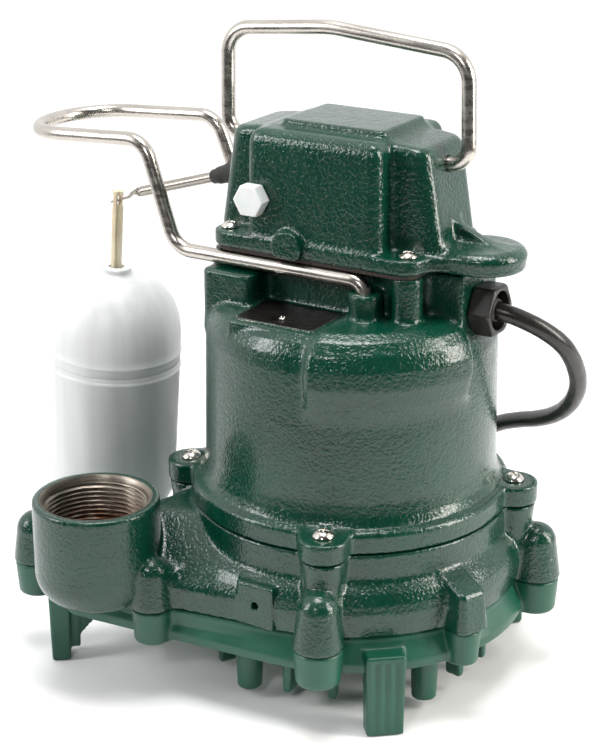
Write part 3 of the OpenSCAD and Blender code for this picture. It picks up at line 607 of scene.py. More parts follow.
def base_plate(s):
    rim_r = VOLUTE_R + 4
    plan = s.teardrop(VOLUTE_R, CORNER_R)
    rim = s.teardrop(rim_r, CORNER_R - 2)
    f = s.slab(plan, 38, BASE_Z - 0.1, 0.8)
    drafted_rim = (rim + np.maximum(s.z - 33, 0) * 0.45) / 1.1
    f = join(f, common(drafted_rim, np.maximum(s.z - 41, BASE_BOTTOM_Z - s.z), 1.8), 2.0)
    for angle, distance, low_r, dome_r, _ in BASE_BOSSES:
        x, y = polar(angle, distance)
        boss = s.disc(x, y, low_r - 0.6) + (BASE_Z - s.z) * 0.07
        f = join(f, common(boss, np.maximum(s.z - BASE_Z + 0.1, BASE_BOTTOM_Z - 0.8 - s.z), 1.2), 2.0)
        root = s.plan_box(distance - 30, distance, 2 - dome_r, dome_r - 2, 0, angle)
        f = join(f, common(root, np.maximum(s.z - BASE_Z + 1, BASE_BOTTOM_Z + 1 - s.z), 1.0), 2.0)
    # hollow underside and the eye that feeds the impeller
    f = cut(f, common(s.teardrop(rim_r - 6, CORNER_R - 8), s.z - 38.5), 1.0)
    for x, y, angle, width, flutes in ((54.2, -63.5, -49.5, 17.6, 3), (54.2, 63.5, 49.5, 17.6, 3),
                                       (-58, 60, 134, 17.6, 3), (-109.7, -82.5, -143, 12, 0)):
        f = join(f, leg(s, x, y, angle, width, flutes), 1.5)
    f = join(f, gusset(s), 1.2)
    # strainer pegs round the intake, every fourth one a stout post
    for k in range(20):
        angle = k * 18 + 6
        if k % 4 != 2:
            peg = s.plan_box(60, 69, -2.3, 2.3, 0.8, angle) + (38 - s.z) * 0.012
            f = join(f, common(peg, np.maximum(s.z - 40, 8 - s.z), 0.8), 1.2)
        else:
            x, y = polar(angle, 67)
            f = join(f, common(s.disc(x, y, 6.6) + (38 - s.z) * 0.03, np.maximum(s.z - 40, 5 - s.z), 1.0), 1.5)
    f = cut(f, s.column(0, 0, 10, 60, 25), 1.0)
    for angle, distance, *_ in BASE_BOSSES:
        f = cut(f, s.column(*polar(angle, distance), 20, 60, 2.3))
    return f


def leg(s, x, y, angle, width, flutes):
    """A foot with a ribbed back, tapering a little towards the floor."""
    c, n = math.cos(math.radians(angle)), math.sin(math.radians(angle))
    along = (s.x - x) * c + (s.y - y) * n
    across = np.abs((s.y - y) * c - (s.x - x) * n)
    taper = (38 - s.z) * 0.018
    foot = np.maximum(across - width / 2 + taper, np.abs(along + 1) - 5 + taper)
    foot = common(foot, np.maximum(s.z - 39, -s.z), 1.2)
    spine = np.maximum(np.maximum(across - width / 4, np.abs(along + 6) - 4), np.maximum(s.z - 34, 6 - s.z))
    foot = join(foot, spine, 1.0)
    for k in range(flutes):
        offset = (k - (flutes - 1) / 2) * 4.4
        signed = (s.y - y) * c - (s.x - x) * n
        flute = np.maximum(np.hypot(along - 4.2, signed - offset) - 1.3, np.abs(s.z - 19) - 17)
        foot = cut(foot, flute, 0.6)
    return foot


def gusset(s):
    """The triangular web behind the outlet's foot."""
    along, across = s.turned(-143)
    web = np.maximum(np.abs(across) - 2, np.abs(along - 119) - 15)
    slant = (38 - s.z) * 0.8 - (along - 104) * 0.9
    return common(np.maximum(web, slant / 1.2), s.z - 36 + 0 * along, 1.0)


def switch_case(s):
    # foot with the tongue over the cord gland
    foot = s.plan_box(-55, 48, -33, 33, 9)
    foot = join(foot, join(s.disc(64, 0, 18), s.plan_box(40, 64, -18, 18), 0.5), 10.0)
    f = s.slab(foot, CASE_Z, 205, 1.2)
    rise = np.clip((s.z - 205) / 44, 0, 1)
    # end blocks lean in towards the top
    lean_x = np.abs(s.x + 3 + 0.25 * rise) - (55.5 - 7.2 * rise)
    lean_y = np.abs(s.y) - 19.5 + 0 * rise
    ends = np.maximum(lean_x + 7, lean_y + 7)
    ends = np.minimum(ends, 0) + np.hypot(np.maximum(lean_x + 7, 0), np.maximum(lean_y + 7, 0)) - 7
    crown = s.z - 250.5 + np.maximum(np.abs(s.x + 3) - 36, 0) * 0.12
    f = join(f, common(ends, np.maximum(crown, 200 - s.z), 4.5), 2.2)
    # main box, its top edges well rounded
    box_wall = s.plan_box(-36.7, 30, -31.8, 31.8, 5.5) + rise * 0.9
    f = join(f, common(box_wall, np.maximum(s.z - CASE_TOP_Z + np.abs(s.y) * 0.035, 200 - s.z), 7.0), 2.6)
    # shallow raised plate on the top, left blank
    plate = s.box(-25, 25, -19, 19, 248, CASE_TOP_Z + 2.2, 3, 1.0)
    f = join(f, plate, 3.5)
    # half-round boss at the foot of the front wall
    round_boss = np.maximum(np.hypot(s.x + 12.7, s.z - 203) - 7.8, np.abs(s.y + 31) - 5.6)
    f = join(f, common(common(round_boss, CASE_Z - s.z), round_boss, 1.5), 1.8)
    # rib from the end wall down to the tongue, and the tongue's thick rounded end
    rib = np.maximum(np.abs(s.y) - 2.4, (s.z - 205) - (76 - s.x) * 0.46)
    rib = common(rib, np.maximum(40 - s.x, s.x - 76), 1.0)
    f = join(f, common(rib, np.maximum(200 - s.z, s.z - 222), 1.0), 4.0)
    f = join(f, s.slab(s.disc(64, 0, 16.6), 203, 207.4, 2.2), 5.0)
    # inside
    f = cut(f, s.box(-32, 25.5, -27.3, 27.3, CASE_Z - 2, 248, 4))
    f = cut(f, s.box(-50, 44, -14.5, 14.5, CASE_Z - 2, 232, 4))
    f = cut(f, s.box(-43, 37, -13, 13, 230, 247.5, 4))
    f = cut(f, np.maximum(s.column(64, 0, 190, 202, 14), 54 - s.x))
    for x, y in CASE_SCREWS:
        f = cut(f, s.column(x, y, 190, 230, 2.2))
        f = cut(f, s.column(x, y, 205, 235, 4.8), 0.8)
    f = cut(f, s.rod_x(-60, -38, 0, HINGE_Z, WIRE_R + 0.15), 0.4)
    f = cut(f, s.rod_x(32, 60, 0, HINGE_Z, WIRE_R + 0.15), 0.4)
    f = cut(f, s.rod_x(-70, -46, 0, ARM_PIVOT[2], 7), 0.6)
    plug_hole = np.maximum(np.hypot(s.x - CASE_PLUG[0], s.z - CASE_PLUG[1]) - 5.1, s.y + 20)
    return cut(f, plug_hole)


def build_castings():
    step = 0.9
    for name, shape, slot in (("motor_housing", motor_housing, "green_iron"),
                              ("volute_housing", volute_housing, "green_iron"),
                              ("base_plate", base_plate, "green_plastic"),
                              ("switch_case", switch_case, "green_iron")):
        low, high = (tuple(c / MM for c in corner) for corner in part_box(name))
        space = Space(low, high, step)
        add_piece(name + "_skin", skin(name, space, shape(space)), slot, "pump_body", [name])


# ---------- swept, turned and moulded pieces, in millimetres ----------

def bend(a, p, b, radius, steps):
    """Points of a round bend at corner p between the points a and b."""
    u, v = (a - p).normalized(), (b - p).normalized()
    half = u.angle(v) / 2
    middle = p + (u + v).normalized() * radius / math.sin(half)
    start, finish = ((p + w * radius / math.tan(half) - middle).normalized() for w in (u, v))
    return [middle + start.slerp(finish, i / steps) * radius for i in range(steps + 1)]


def bent_path(corners, steps=14):
    """A path through straight runs with round bends; each corner is a point and its bend radius."""
    points = [Vector(c[:3]) for c in corners]
    path = [points[0]]
    for i in range(1, len(points) - 1):
        path += bend(points[i - 1], points[i], points[i + 1], corners[i][3], steps)
    return path + [points[-1]]


def sweep(name, path, section, closed_ends=True):
    """A skin along a path. section(i, t) gives the cross-section's points for path point i at share t."""
    points, faces = [], []
    normal = None
    sides = len(section(0, 0.0))
    for i, p in enumerate(path):
        tangent = (path[min(i + 1, len(path) - 1)] - path[max(i - 1, 0)]).normalized()
        if normal is None:
            normal = tangent.orthogonal() if abs(tangent.z) > 0.9 else Vector((0, 0, 1))
        normal = (normal - tangent * normal.dot(tangent)).normalized()
        side = tangent.cross(normal)
        points += [p + side * u + normal * v for u, v in section(i, i / (len(path) - 1))]
    for i in range(len(path) - 1):
        for k in range(sides):
            a, b = i * sides + k, i * sides + (k + 1) % sides
            faces.append((a, b, b + sides, a + sides))
    if closed_ends:
        faces.append(tuple(range(sides - 1, -1, -1)))
        faces.append(tuple(range(len(points) - sides, len(points))))
    return mesh_from(name, points, faces)


def ellipse(a, b, turn=0.0, sides=28):
    c, s = math.cos(turn), math.sin(turn)
    ring = [(a * math.cos(t), b * math.sin(t)) for t in (2 * math.pi * k / sides for k in range(sides))]
    return [(u * c - v * s, u * s + v * c) for u, v in ring]


def wire(name, corners):
    path = bent_path(corners)
    return sharpen(sweep(name, path, lambda i, t: ellipse(WIRE_R, WIRE_R)), 50)


def turned(name, profile, sides=96, matrix=Matrix.Identity(4)):
    """A solid of revolution from a closed profile of (radius, height), about the local Z axis."""
    points, faces = [], []
    for r, z in profile:
        ring = [(r * math.cos(t), r * math.sin(t), z) for t in (2 * math.pi * k / sides for k in range(sides))]
        points += [matrix @ Vector(p) for p in ring]
    count = len(profile)
    for i in range(count):
        j = (i + 1) % count
        if profile[i][0] < 1e-6 and profile[j][0] < 1e-6:
            continue
        faces += band(i, j, sides)
    mesh = mesh_from(name, points, faces)
    bm = bmesh.new()
    bm.from_mesh(mesh)
    bmesh.ops.remove_doubles(bm, verts=bm.verts, dist=1e-6)
    bmesh.ops.recalc_face_normals(bm, faces=bm.faces)
    bm.to_mesh(mesh)
    bm.free()
    return mesh


def moved(mesh, matrix):
    """The mesh turned and moved by a matrix whose shift is in millimetres."""
    shifted = matrix.copy()
    shifted.translation = matrix.translation * MM
    mesh.transform(shifted)
    return mesh


def gathered(name, mesh, places):
    """One mesh with a copy of the given one at each place."""
    bm = bmesh.new()
    for place in places:
        copy = moved(mesh.copy(), place)
        bm.from_mesh(copy)
        bpy.data.meshes.remove(copy)
    whole = bpy.data.meshes.new(name)
    bm.to_mesh(whole)
    bm.free()
    return whole


def build_wires():
    side = 31
    guard = [(24, -side, 176, 0), (24, -side, 192.8, 7), (-73.5, -side, 192.8, 12), (-91, -29, 239.8, 12),
             (-165, -28, 235, 27.4), (-165, 28, 235, 27.4), (-91, 29, 239.8, 12), (-73.5, side, 192.8, 12),
             (24, side, 192.8, 7), (24, side, 176, 0)]
    handle = [(-45, 0, HINGE_Z, 0), (-64.9, 0, HINGE_Z, 9), (-64.3, 0, 288, 12.5), (-12, 0, 292.8, 60),
              (54.2, 0, 287.2, 13), (55.8, 0, HINGE_Z, 8.5), (39, 0, HINGE_Z, 0)]
    add_piece("float_guard_wire", wire("float_guard_wire", guard), "stainless_wire", "pump_body", ["float_guard"], False)
    add_piece("handle_wire", wire("handle_wire", handle), "stainless_wire", "handle", ["handle"], False)


def screw(name, head_r, head_h, shank_r, depth, step=0.26):
    """A domed screw with a crossed recess, its seat at z = 0."""
    s = Space((-head_r, -head_r, -depth), (head_r, head_r, head_h), step)
    ball_r = (head_r ** 2 + head_h ** 2) / (2 * head_h)
    ball = np.hypot(s.disc(0, 0, 0), s.z - head_h + ball_r) - ball_r
    f = common(ball, common(s.disc(0, 0, head_r), -s.z), 0.5)
    for angle in (20, 110):
        slot = s.plan_box(-head_r * 0.5, head_r * 0.5, -0.42, 0.42, 0.1, angle)
        f = cut(f, common(slot + (head_h - s.z) * 0.2, head_h * 0.42 - s.z), 0.25)
    f = join(f, s.column(0, 0, -depth, 0.5, shank_r, 0.4), 0.2)
    return skin(name, s, f)


def build_screws():
    step = 0.3
    down = Matrix.Rotation(math.pi, 4, "X")
    case = [Matrix.Translation((x, y, 205)) @ Matrix.Rotation(0.9 * k, 4, "Z")
            for k, (x, y) in enumerate(CASE_SCREWS)]
    housing = [Matrix.Translation((*polar(a, FLANGE_SCREW_R), FLANGE_TOP_Z)) @ Matrix.Rotation(a, 4, "Z")
               for a in FLANGE_SCREW_ANGLES]
    base = [Matrix.Translation((*polar(b[0], b[1]), BASE_BOTTOM_Z)) @ down for b in BASE_BOSSES]
    for name, sizes, places in (("case_screws", (4.3, 2.6, 2.1, 6), case),
                                ("housing_screws", (5, 3.2, 2.6, 6), housing),
                                ("base_screws", (4, 2.4, 2.2, 6), base)):
        mesh = gathered(name + "_heads", screw(name, *sizes, step), places)
        add_piece(name + "_heads", mesh, "stainless", "pump_body", [name])
    rivet = screw("rivet", 2, 1, 1.2, 3, 0.2)
    add_piece("nameplate_rivet_head", moved(rivet, Matrix.Translation((-8, -46, SHOULDER_Z + 0.7))),
              "stainless", "pump_body", ["nameplate_rivet"])


def build_outlet_thread():
    """Bare machined chamfer and a tapped pipe thread in the outlet."""
    sides, top, bottom = 160, 88.4, 68
    rows = 120
    points, faces = [], []
    profile_above = [(24.95, bottom - 2), (24.95, OUTLET_TOP_Z - 0.25), (25.3, OUTLET_TOP_Z - 0.05),
                     (25.0, OUTLET_TOP_Z - 0.05), (THREAD_R + 0.9, top + 0.2)]
    levels = [(None, top - (top - bottom) * i / rows) for i in range(rows + 1)]
    rings = profile_above + levels + [(THREAD_R - 1.2, bottom - 2)]
    for r, z in rings:
        for k in range(sides):
            angle = 2 * math.pi * k / sides
            if r is None:
                turn = (z / THREAD_PITCH - k / sides) % 1.0
                crest = min(1.0, max(0.0, (top - z) / 1.2))
                radius = THREAD_R + 0.9 - crest * 0.9 + 1.35 * abs(2 * turn - 1) * crest
            else:
                radius = r
            points.append((OUTLET[0] + radius * math.cos(angle), OUTLET[1] + radius * math.sin(angle), z))
    for i in range(len(rings)):
        j = (i + 1) % len(rings)
        faces += band(i, j, sides)
    mesh = sharpen(mesh_from("outlet_thread", points, faces), 40)
    add_piece("outlet_thread", mesh, "green_iron", "pump_body", smooth=False, material=machined_iron())


def build_gland():
    s = Space((GLAND[0] - 16, GLAND[1] - 15, GLAND[2] - 15), (GLAND[0] + 11, GLAND[1] + 15, GLAND[2] + 15),
              0.45)
    y, z = s.y - GLAND[1], s.z - GLAND[2]
    flat = 12.2 * math.cos(math.pi / 6)
    radial = np.hypot(y, z)
    face = np.abs(s.x - GLAND[0] - 5.3) - 5.25
    nut = common(common(hexagon(y, z) - flat, face, 0.8), radial + np.abs(s.x - GLAND[0] - 5.3) * 0.6 - 14.6, 0.6)
    nut = join(nut, np.maximum(radial - 7.4, np.abs(s.x - GLAND[0] + 7) - 8))
    nut = cut(nut, radial - 6)
    nut = cut(nut, np.maximum(radial - 8.6, GLAND[0] + 4 - s.x), 0.6)
    add_piece("gland_nut_hex", skin("gland_nut_hex", s, nut), "black_nylon", "pump_body", ["gland_nut"])
    grommet = [(CORD_R + 0.1, 48), (CORD_R + 1.9, 48), (CORD_R + 1.9, GLAND[0] + 4.1), (8.3, GLAND[0] + 4.1),
               (8.35, GLAND[0] + 5.6), (7.6, GLAND[0] + 6), (5.4, GLAND[0] + 6.4), (CORD_R + 0.9, GLAND[0] + 9),
               (CORD_R + 0.1, GLAND[0] + 9.4)]
    axis = Matrix.Translation((0, GLAND[1], GLAND[2])) @ Matrix.Rotation(math.pi / 2, 4, "Y")
    add_piece("cord_grommet_ring", turned("cord_grommet_ring", grommet, 64, axis), "black_rubber", "pump_body",
              ["cord_grommet"])


def build_case_plug():
    s = Space((-39, -40, 213), (-22, -26, 231), 0.35)
    x, z = s.x - CASE_PLUG[0], s.z - CASE_PLUG[1]
    flat = 7.6 * math.cos(math.pi / 6)
    radial = np.hypot(x, z)
    head = common(hexagon(x, z) - flat, np.maximum(-38.4 - s.y, s.y + 31.85), 0.7)
    head = common(head, radial - 8.3 - (s.y + 38.4) * 0.9, 0.8)
    face = np.hypot(radial, np.maximum(-(s.y + 8), 0)) - 31.3
    head = common(head, face, 0.6)
    head = join(head, np.maximum(radial - 4.9, np.abs(s.y + 31) - 4.5))
    add_piece("case_plug_head", skin("case_plug_head", s, head), "white_nylon", "pump_body", ["case_plug"])


def build_nameplate():
    """A thin dark plate with a bright rolled edge, left blank."""
    x1, x2, y1, y2, z, thick, border = -27.5, 11.5, -54, -25, SHOULDER_Z + 0.1, 0.6, 0.7
    bm = bmesh.new()
    corners = [(x1, y1), (x2, y1), (x2, y2), (x1, y2)]
    low = [bm.verts.new((x * MM, y * MM, z * MM)) for x, y in corners]
    base = bm.faces.new(low[::-1])
    lifted = bmesh.ops.extrude_face_region(bm, geom=[base])
    for v in (g for g in lifted["geom"] if isinstance(g, bmesh.types.BMVert)):
        v.co.z += thick * MM
    bmesh.ops.recalc_face_normals(bm, faces=bm.faces)
    vertical = [e for e in bm.edges if abs(e.verts[0].co.z - e.verts[1].co.z) > 0.1 * MM]
    bmesh.ops.bevel(bm, geom=vertical, offset=1.2 * MM, segments=5, affect="EDGES")
    bm.normal_update()
    top = max(bm.faces, key=lambda f: f.calc_center_median().z)
    bmesh.ops.inset_region(bm, faces=[top], thickness=border * MM)
    for v in top.verts:
        v.co.z -= 0.15 * MM
    mesh = bpy.data.meshes.new("nameplate_sheet")
    bm.faces.index_update()
    panel = top.index
    bm.to_mesh(mesh)
    bm.free()
    piece = add_piece("nameplate_sheet", mesh, "etched_plate", "pump_body", ["nameplate"], False,
                      MATERIALS["stainless"])
    mesh.materials.append(MATERIALS["etched_plate"])
    mesh.polygons[panel].material_index = 1
    return piece


def float_matrix():
    return Matrix.Translation(HOOK) @ Matrix.Rotation(math.radians(FLOAT_LEAN), 4, "Y")


def dome_r(z):
    t = min(max((z + 70) / 35, 0), 1)
    return FLOAT_R * (1 - t ** 2.3) ** (1 / 2.3)


def build_float():
    place = float_matrix()
    seam, bottom = -79, -158
    dome = [(dome_r(z), z) for z in np.arange(-70, -37.4, 1.0)]
    upper = [(0, seam + 6), (FLOAT_R - 2, seam + 6), (FLOAT_R - 2, seam), (FLOAT_R - 0.25, seam),
             (FLOAT_R, seam + 0.4), (FLOAT_R, -75.2), (FLOAT_R + 0.3, -74.8), (FLOAT_R + 0.5, -74.2),
             (FLOAT_R + 0.3, -73.5), (FLOAT_R, -73), *dome, (9.2, -36.8), (8.0, -36.1), (7.5, -35.4), (7.4, -34.6),
             (7.4, -33.4), (7.1, -33.05), (3.9, -33), (3.6, -33.4), (3.5, -37), (0, -37)]
    round_end = [(FLOAT_R - 14 * (1 - math.cos(a)), bottom + 14 * (1 - math.sin(a)))
                 for a in np.radians(np.arange(0, 91, 7.5))]
    lower = [(0, seam - 4), (FLOAT_R - 2, seam - 4), (FLOAT_R - 2, seam - 0.05), (FLOAT_R - 0.25, seam - 0.05),
             (FLOAT_R, seam - 0.45), (FLOAT_R, -81.2), (FLOAT_R + 0.3, -81.6), (FLOAT_R + 0.5, -82.4),
             (FLOAT_R + 0.3, -83.2), (FLOAT_R, -83.7), *round_end, (0, bottom)]
    for name, profile in (("float_upper_shell", upper), ("float_lower_shell", lower)):
        mesh = turned(name + "_skin", profile, 160, place)
        add_piece(name + "_skin", sharpen(mesh, 35), "float_plastic", "float", [name], False)
    s = Space((-4, -4, -46), (4, 4, 6), 0.25)
    blade = join(s.box(-2.75, 2.75, -0.95, 0.95, -45, 5, 0.2, 0.35),
                 s.box(-0.95, 0.95, -2.75, 2.75, -45, 5, 0.2, 0.35), 0.5)
    slot = np.maximum(np.abs(s.y) - 1.4, np.abs(s.z) - 2.4)
    rod = skin("float_rod_skin", s, cut(blade, slot, 0.3))
    add_piece("float_rod_skin", moved(rod, place), "rod_plastic", "float", ["float_rod"])


def build_arm():
    """The round arm, flattened and twisted at its tip where the float rod hangs."""
    pivot, hook = Vector(ARM_PIVOT), Vector(HOOK)
    along = Vector((-math.cos(math.radians(ARM_SLOPE)), 0, -math.sin(math.radians(ARM_SLOPE))))
    strip = Vector((math.cos(math.radians(20)), 0, math.sin(math.radians(20))))
    # each stop is a point, the half-widths of the section there, and its twist in radians
    stops = [(pivot - along * 15, 1.4, 1.4, 0), (pivot - along * 5, 1.4, 1.4, 0),
             (pivot - along * 4, 2.38, 2.38, 0)]
    stops += [(pivot + along * d, 2.38, 2.38, 0) for d in (10, 30, 50, 66, 70, 71.5)]
    stops += [(pivot + along * 73.2, 2.2, 1.9, 0.3), (pivot + along * 75, 1.9, 1.1, 0.8),
              (pivot + along * 77, 1.6, 0.75, 1.3), (hook + strip * 7, 1.15, 0.6, 1.45),
              (hook + strip * 4, 1.1, 0.6, 1.57), (hook, 1.1, 0.6, 1.57), (hook - strip * 3.6, 1.1, 0.6, 1.57),
              (hook - strip * 4.3, 0.7, 0.4, 1.57)]
    path = [p for p, *_ in stops]
    mesh = sweep("float_arm_bar", path,
                 lambda i, t: ellipse(stops[i][1], stops[i][2], stops[i][3] - 1.57 * (i > 8)))
    bm = bmesh.new()
    bm.from_mesh(sharpen(mesh, 45))
    hub = [(1.55, -4.4), (3.7, -4.4), (4, -4.1), (4, 4.1), (3.7, 4.4), (1.55, 4.4)]
    turn = Matrix.Translation(ARM_PIVOT) @ Matrix.Rotation(math.pi / 2, 4, "X")
    bm.from_mesh(turned("hub", hub, 40, turn))
    ball = [(2.6 * math.sin(a), 2.6 * math.cos(a)) for a in np.radians(np.arange(0, 181, 10))]
    bm.from_mesh(turned("ball", ball, 32, Matrix.Translation(pivot - along * 16)))
    bm.to_mesh(mesh)
    bm.free()
    add_piece("float_arm_bar", sharpen(mesh, 45), "arm_steel", "float_arm", ["float_arm"], False)
    build_boot(pivot, along)


def build_boot(pivot, along):
    """A rubber boot that is held in the case wall and grips the arm."""
    ring = [(-50.5, 227.3, 6.6), (-54, 227.2, 6.8), (-55.5, 227.0, 7.2), (-57.0, 226.5, 7.3), (-58.2, 225.6, 6.9),
            (-60, 224.3, 5.9), (-62.5, 223.0, 4.9), (-65.5, 221.6, 4.3), (-68.6, 220.5, 4.05)]
    path = [Vector((x, 0, z)) for x, z, _ in ring] + [pivot + along * d for d in (25.4, 26.2, 28.4, 29)]
    radii = [r for _, _, r in ring] + [3.9, 3.45, 3.3, 2.9]
    mesh = sweep("arm_boot_skin", path, lambda i, t: ellipse(radii[i], radii[i]))
    mesh.materials.append(MATERIALS["black_rubber"])
    sharpen(mesh, 60)
    boot = bpy.data.objects.new("arm_boot_skin", mesh)
    bpy.context.scene.collection.objects.link(boot)
    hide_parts("arm_boot")
    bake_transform(boot)


# ---------- cord ----------

# points listed from inside the gland to the coil, and from the coil to the plug
CORD_ROUTE = [(64, 2, 179), (73.9, 3.1, 177.9), (82.8, 6.3, 174.6), (89.9, 11.2, 169.6), (94.4, 17.5, 163.2),
              (95.7, 24.4, 156.1), (95.3, 32, 148), (93.5, 40, 139), (89.5, 48, 129.5), (83, 55.5, 120), (74, 63, 111.5),
              (62, 71, 104), (49, 78.5, 98), (36, 85, 91.5), (23, 91, 82.5), (11, 97, 70), (0, 103, 55), (-10, 109, 39),
              (-18, 115.5, 24.5), (-25.5, 124, 13), (-31.5, 134, 6.5), (-35.5, 145, 4.4), (-37.6, 156, 4.2)]
TAIL_ROUTE = [(-107, 222.3, 20.3), (-120, 222.5, 18.7), (-135, 222.5, 15.8), (-150, 222.5, 14), (-156, 222.5, 14)]
COIL_TURNS = 8.25
COIL_OUTER = 57
COIL_STEP = 8.2


def ease(start, end, t):
    u = min(max((t - start) / (end - start), 0), 1)
    return u * u * (3 - 2 * u)


def coil_point(t):
    """A point t turns into the coil.

    Four turns go inwards on the floor and four outwards on top of them, and the last one climbs over those.
    """
    r = COIL_OUTER - COIL_STEP * sum(ease(k - 0.26, k, t) for k in (1, 2, 3))
    r += COIL_STEP * sum(ease(k - 0.52, k - 0.3, t) for k in (5, 6, 7))
    z = CORD_R + 0.15 + COIL_STEP * (ease(3.7, 3.84, t) + ease(7.38, 7.52, t))
    angle = 2 * math.pi * t
    return COIL_CENTRE[0] + r * math.cos(angle), COIL_CENTRE[1] + r * math.sin(angle), z


def build_cord():
    turns = [coil_point(k / 24) for k in range(1, int(COIL_TURNS * 24) + 1)]
    route = CORD_ROUTE + turns + TAIL_ROUTE
    curve = bpy.data.curves.new("power_cord_jacket", "CURVE")
    curve.dimensions = "3D"
    curve.bevel_depth = CORD_R * MM
    curve.bevel_resolution = 5
    curve.use_fill_caps = True
    curve.resolution_u = 6
    spline = curve.splines.new("BEZIER")
    spline.bezier_points.add(len(route) - 1)
    for point, at in zip(spline.bezier_points, route):
        point.co = Vector(at) * MM
        point.handle_left_type = point.handle_right_type = "AUTO"
    curve.materials.append(MATERIALS["cord_jacket"])
    cord = bpy.data.objects.new("power_cord_jacket", curve)
    bpy.context.scene.collection.objects.link(cord)
    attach(cord, "pump_body")
    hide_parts("power_cord", "cord_coil", "cord_tail")
    tie = build_tie()
    plug = build_plug()


def build_tie():
    """A soft strap that holds the turns together on the far side of the coil."""
    outer = COIL_OUTER + CORD_R
    x1, x2 = COIL_CENTRE[0] - outer - 1.2, COIL_CENTRE[0] - 27
    z1, z2 = 0.1, 18.6
    corners = [(x1, z1), (x2, z1), (x2, z2), (x1, z2)]
    loop = []
    for k, (x, z) in enumerate(corners):
        cx, cz = (x1 + 4, x2 - 4)[x == x2], (z1 + 4, z2 - 4)[z == z2]
        for i in range(8):
            a = math.radians(180 + 90 * k + 90 * i / 7)
            loop.append((cx, cz, math.cos(a), math.sin(a)))
    y = COIL_CENTRE[1]
    points, faces = [], []
    for cx, cz, dx, dz in loop:
        for r, half in ((4, 3.6), (4, -3.6), (3.9, -4), (2.9, -4), (2.8, -3.6), (2.8, 3.6), (2.9, 4), (3.9, 4)):
            points.append((cx + r * dx, y + half, cz + r * dz))
    for i in range(len(loop)):
        j = (i + 1) % len(loop)
        for k in range(8):
            faces.append((i * 8 + k, j * 8 + k, j * 8 + (k + 1) % 8, i * 8 + (k + 1) % 8))
    mesh = sharpen(mesh_from("cord_tie_strap", points, faces), 50)
    return add_piece("cord_tie_strap", mesh, "black_rubber", "pump_body", ["cord_tie"], False)


def build_plug():
    """A moulded three-pin plug with a ribbed, tapered strain relief."""
    x0, y0, z0 = PLUG_START
    s = Space((x0 - 33, y0 - 14, z0 - 14), (x0 + 22, y0 + 14, z0 + 14), 0.6)
    along = x0 - s.x
    radial = np.hypot(s.y - y0, s.z - z0)
    relief_r = 5.2 + np.clip((along + 20) / 20, 0, 1) * 1.9
    ribs = 0.55 * np.cos(2 * math.pi * along / 3.4)
    relief = common((radial - relief_r - ribs * (along < 0)) / 1.3, np.maximum(-20 - along, along - 2), 0.6)
    shoulder = common((radial - 7.2 - along * 0.47) / 1.1, np.maximum(-1 - along, along - 13), 1.0)
    width = np.maximum(np.abs(s.y - y0) - 13.2, np.abs(s.z - z0) - 12.6)
    grip = common(common(radial - 13.1, width, 2.0), np.maximum(11 - along, along - 32), 1.6)
    dish = np.hypot(np.hypot(s.z - z0, along - 21), 0 * radial)
    grip = cut(grip, np.maximum(dish - 7, 11.6 - np.abs(s.y - y0)), 1.2)
    f = join(join(relief, shoulder, 1.0), grip, 3.0)
    return add_piece("plug_body_skin", skin("plug_body_skin", s, f), "black_nylon", "pump_body", ["plug_body"])


dress_cad_nodes()
build_cord()
build_castings()
build_wires()
build_screws()
build_outlet_thread()
build_gland()
build_case_plug()
build_nameplate()
build_float()
build_arm()

# ---------- stage ----------


def add_light(name, location, aim, size, watts, colour=(1, 1, 1)):
    data = bpy.data.lights.new(name, "AREA")
    data.shape = "RECTANGLE"
    data.size, data.size_y = size
    data.energy = watts
    data.color = colour
    light = bpy.data.objects.new(name, data)
    light.location = location
    light.rotation_euler = (Vector(aim) - Vector(location)).to_track_quat("-Z", "Y").to_euler()
    bpy.context.scene.collection.objects.link(light)


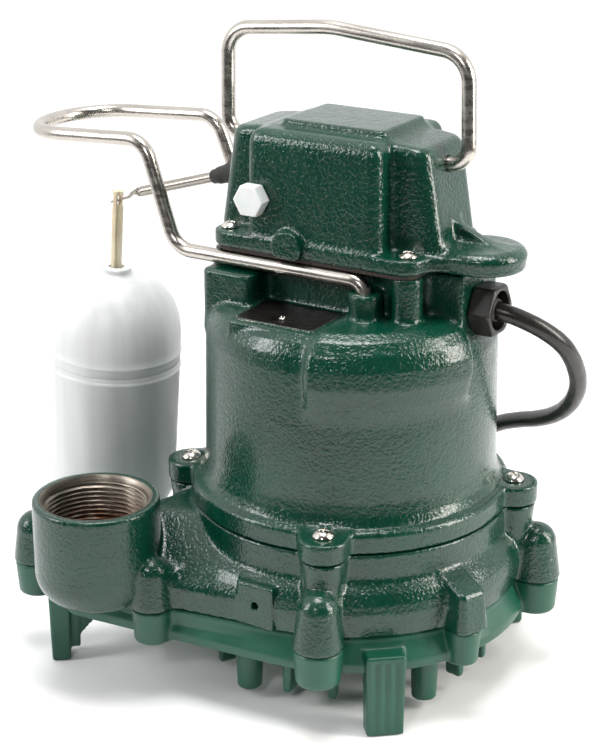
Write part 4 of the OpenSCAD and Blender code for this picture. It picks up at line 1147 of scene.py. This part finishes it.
def studio_world():
    """White behind the object and dim in front of it, so that the enamel has something dark to mirror."""
    world = bpy.data.worlds.new("studio")
    world.use_nodes = True
    tree = world.node_tree
    place = tree.nodes.new("ShaderNodeTexCoord")
    facing = tree.nodes.new("ShaderNodeVectorMath")
    facing.operation = "DOT_PRODUCT"
    facing.inputs[1].default_value = (-0.6, 0.8, 0.15)
    tree.links.new(place.outputs["Generated"], facing.inputs[0])
    fade = tree.nodes.new("ShaderNodeMapRange")
    fade.interpolation_type = "SMOOTHSTEP"
    fade.inputs["From Min"].default_value = -0.45
    fade.inputs["From Max"].default_value = 0.35
    fade.inputs["To Min"].default_value = 0.06
    fade.inputs["To Max"].default_value = 1.15
    tree.links.new(facing.outputs["Value"], fade.inputs["Value"])
    background = tree.nodes["Background"]
    background.inputs["Color"].default_value = (1, 1, 1, 1)
    tree.links.new(fade.outputs["Result"], background.inputs["Strength"])
    return world


def add_stage():
    mesh = bpy.data.meshes.new("floor")
    rim = [(0.55 * math.cos(a), 0.02 + 0.55 * math.sin(a), 0) for a in (2 * math.pi * k / 96 for k in range(96))]
    mesh.from_pydata(rim, [], [tuple(range(96))])
    floor = bpy.data.objects.new("floor", mesh)
    p = Paint("pale_floor", Roughness=0.85)
    p.set("Base Color", p.ramp(p.noise(3, 2), (0.3, (0.86, 0.86, 0.86)), (0.7, (0.90, 0.90, 0.90))))
    mesh.materials.append(p.material)
    bpy.context.scene.collection.objects.link(floor)
    bpy.context.scene.world = studio_world()
    add_light("left_softbox", (-0.9, -0.9, 0.75), (-0.02, 0, 0.15), (0.32, 0.8), 9.5)
    add_light("right_strip", (0.9, 0.25, 0.5), (0, 0, 0.15), (0.25, 0.9), 12, (1, 0.96, 0.9))
    add_light("top_softbox", (0.0, -0.1, 1.3), (0, 0, 0.2), (0.6, 0.45), 11)
    add_light("front_spot", (0.25, -1.1, 0.85), (0, 0, 0.16), (0.12, 0.12), 3)
    bpy.context.scene.view_settings.view_transform = "Standard"


add_stage()
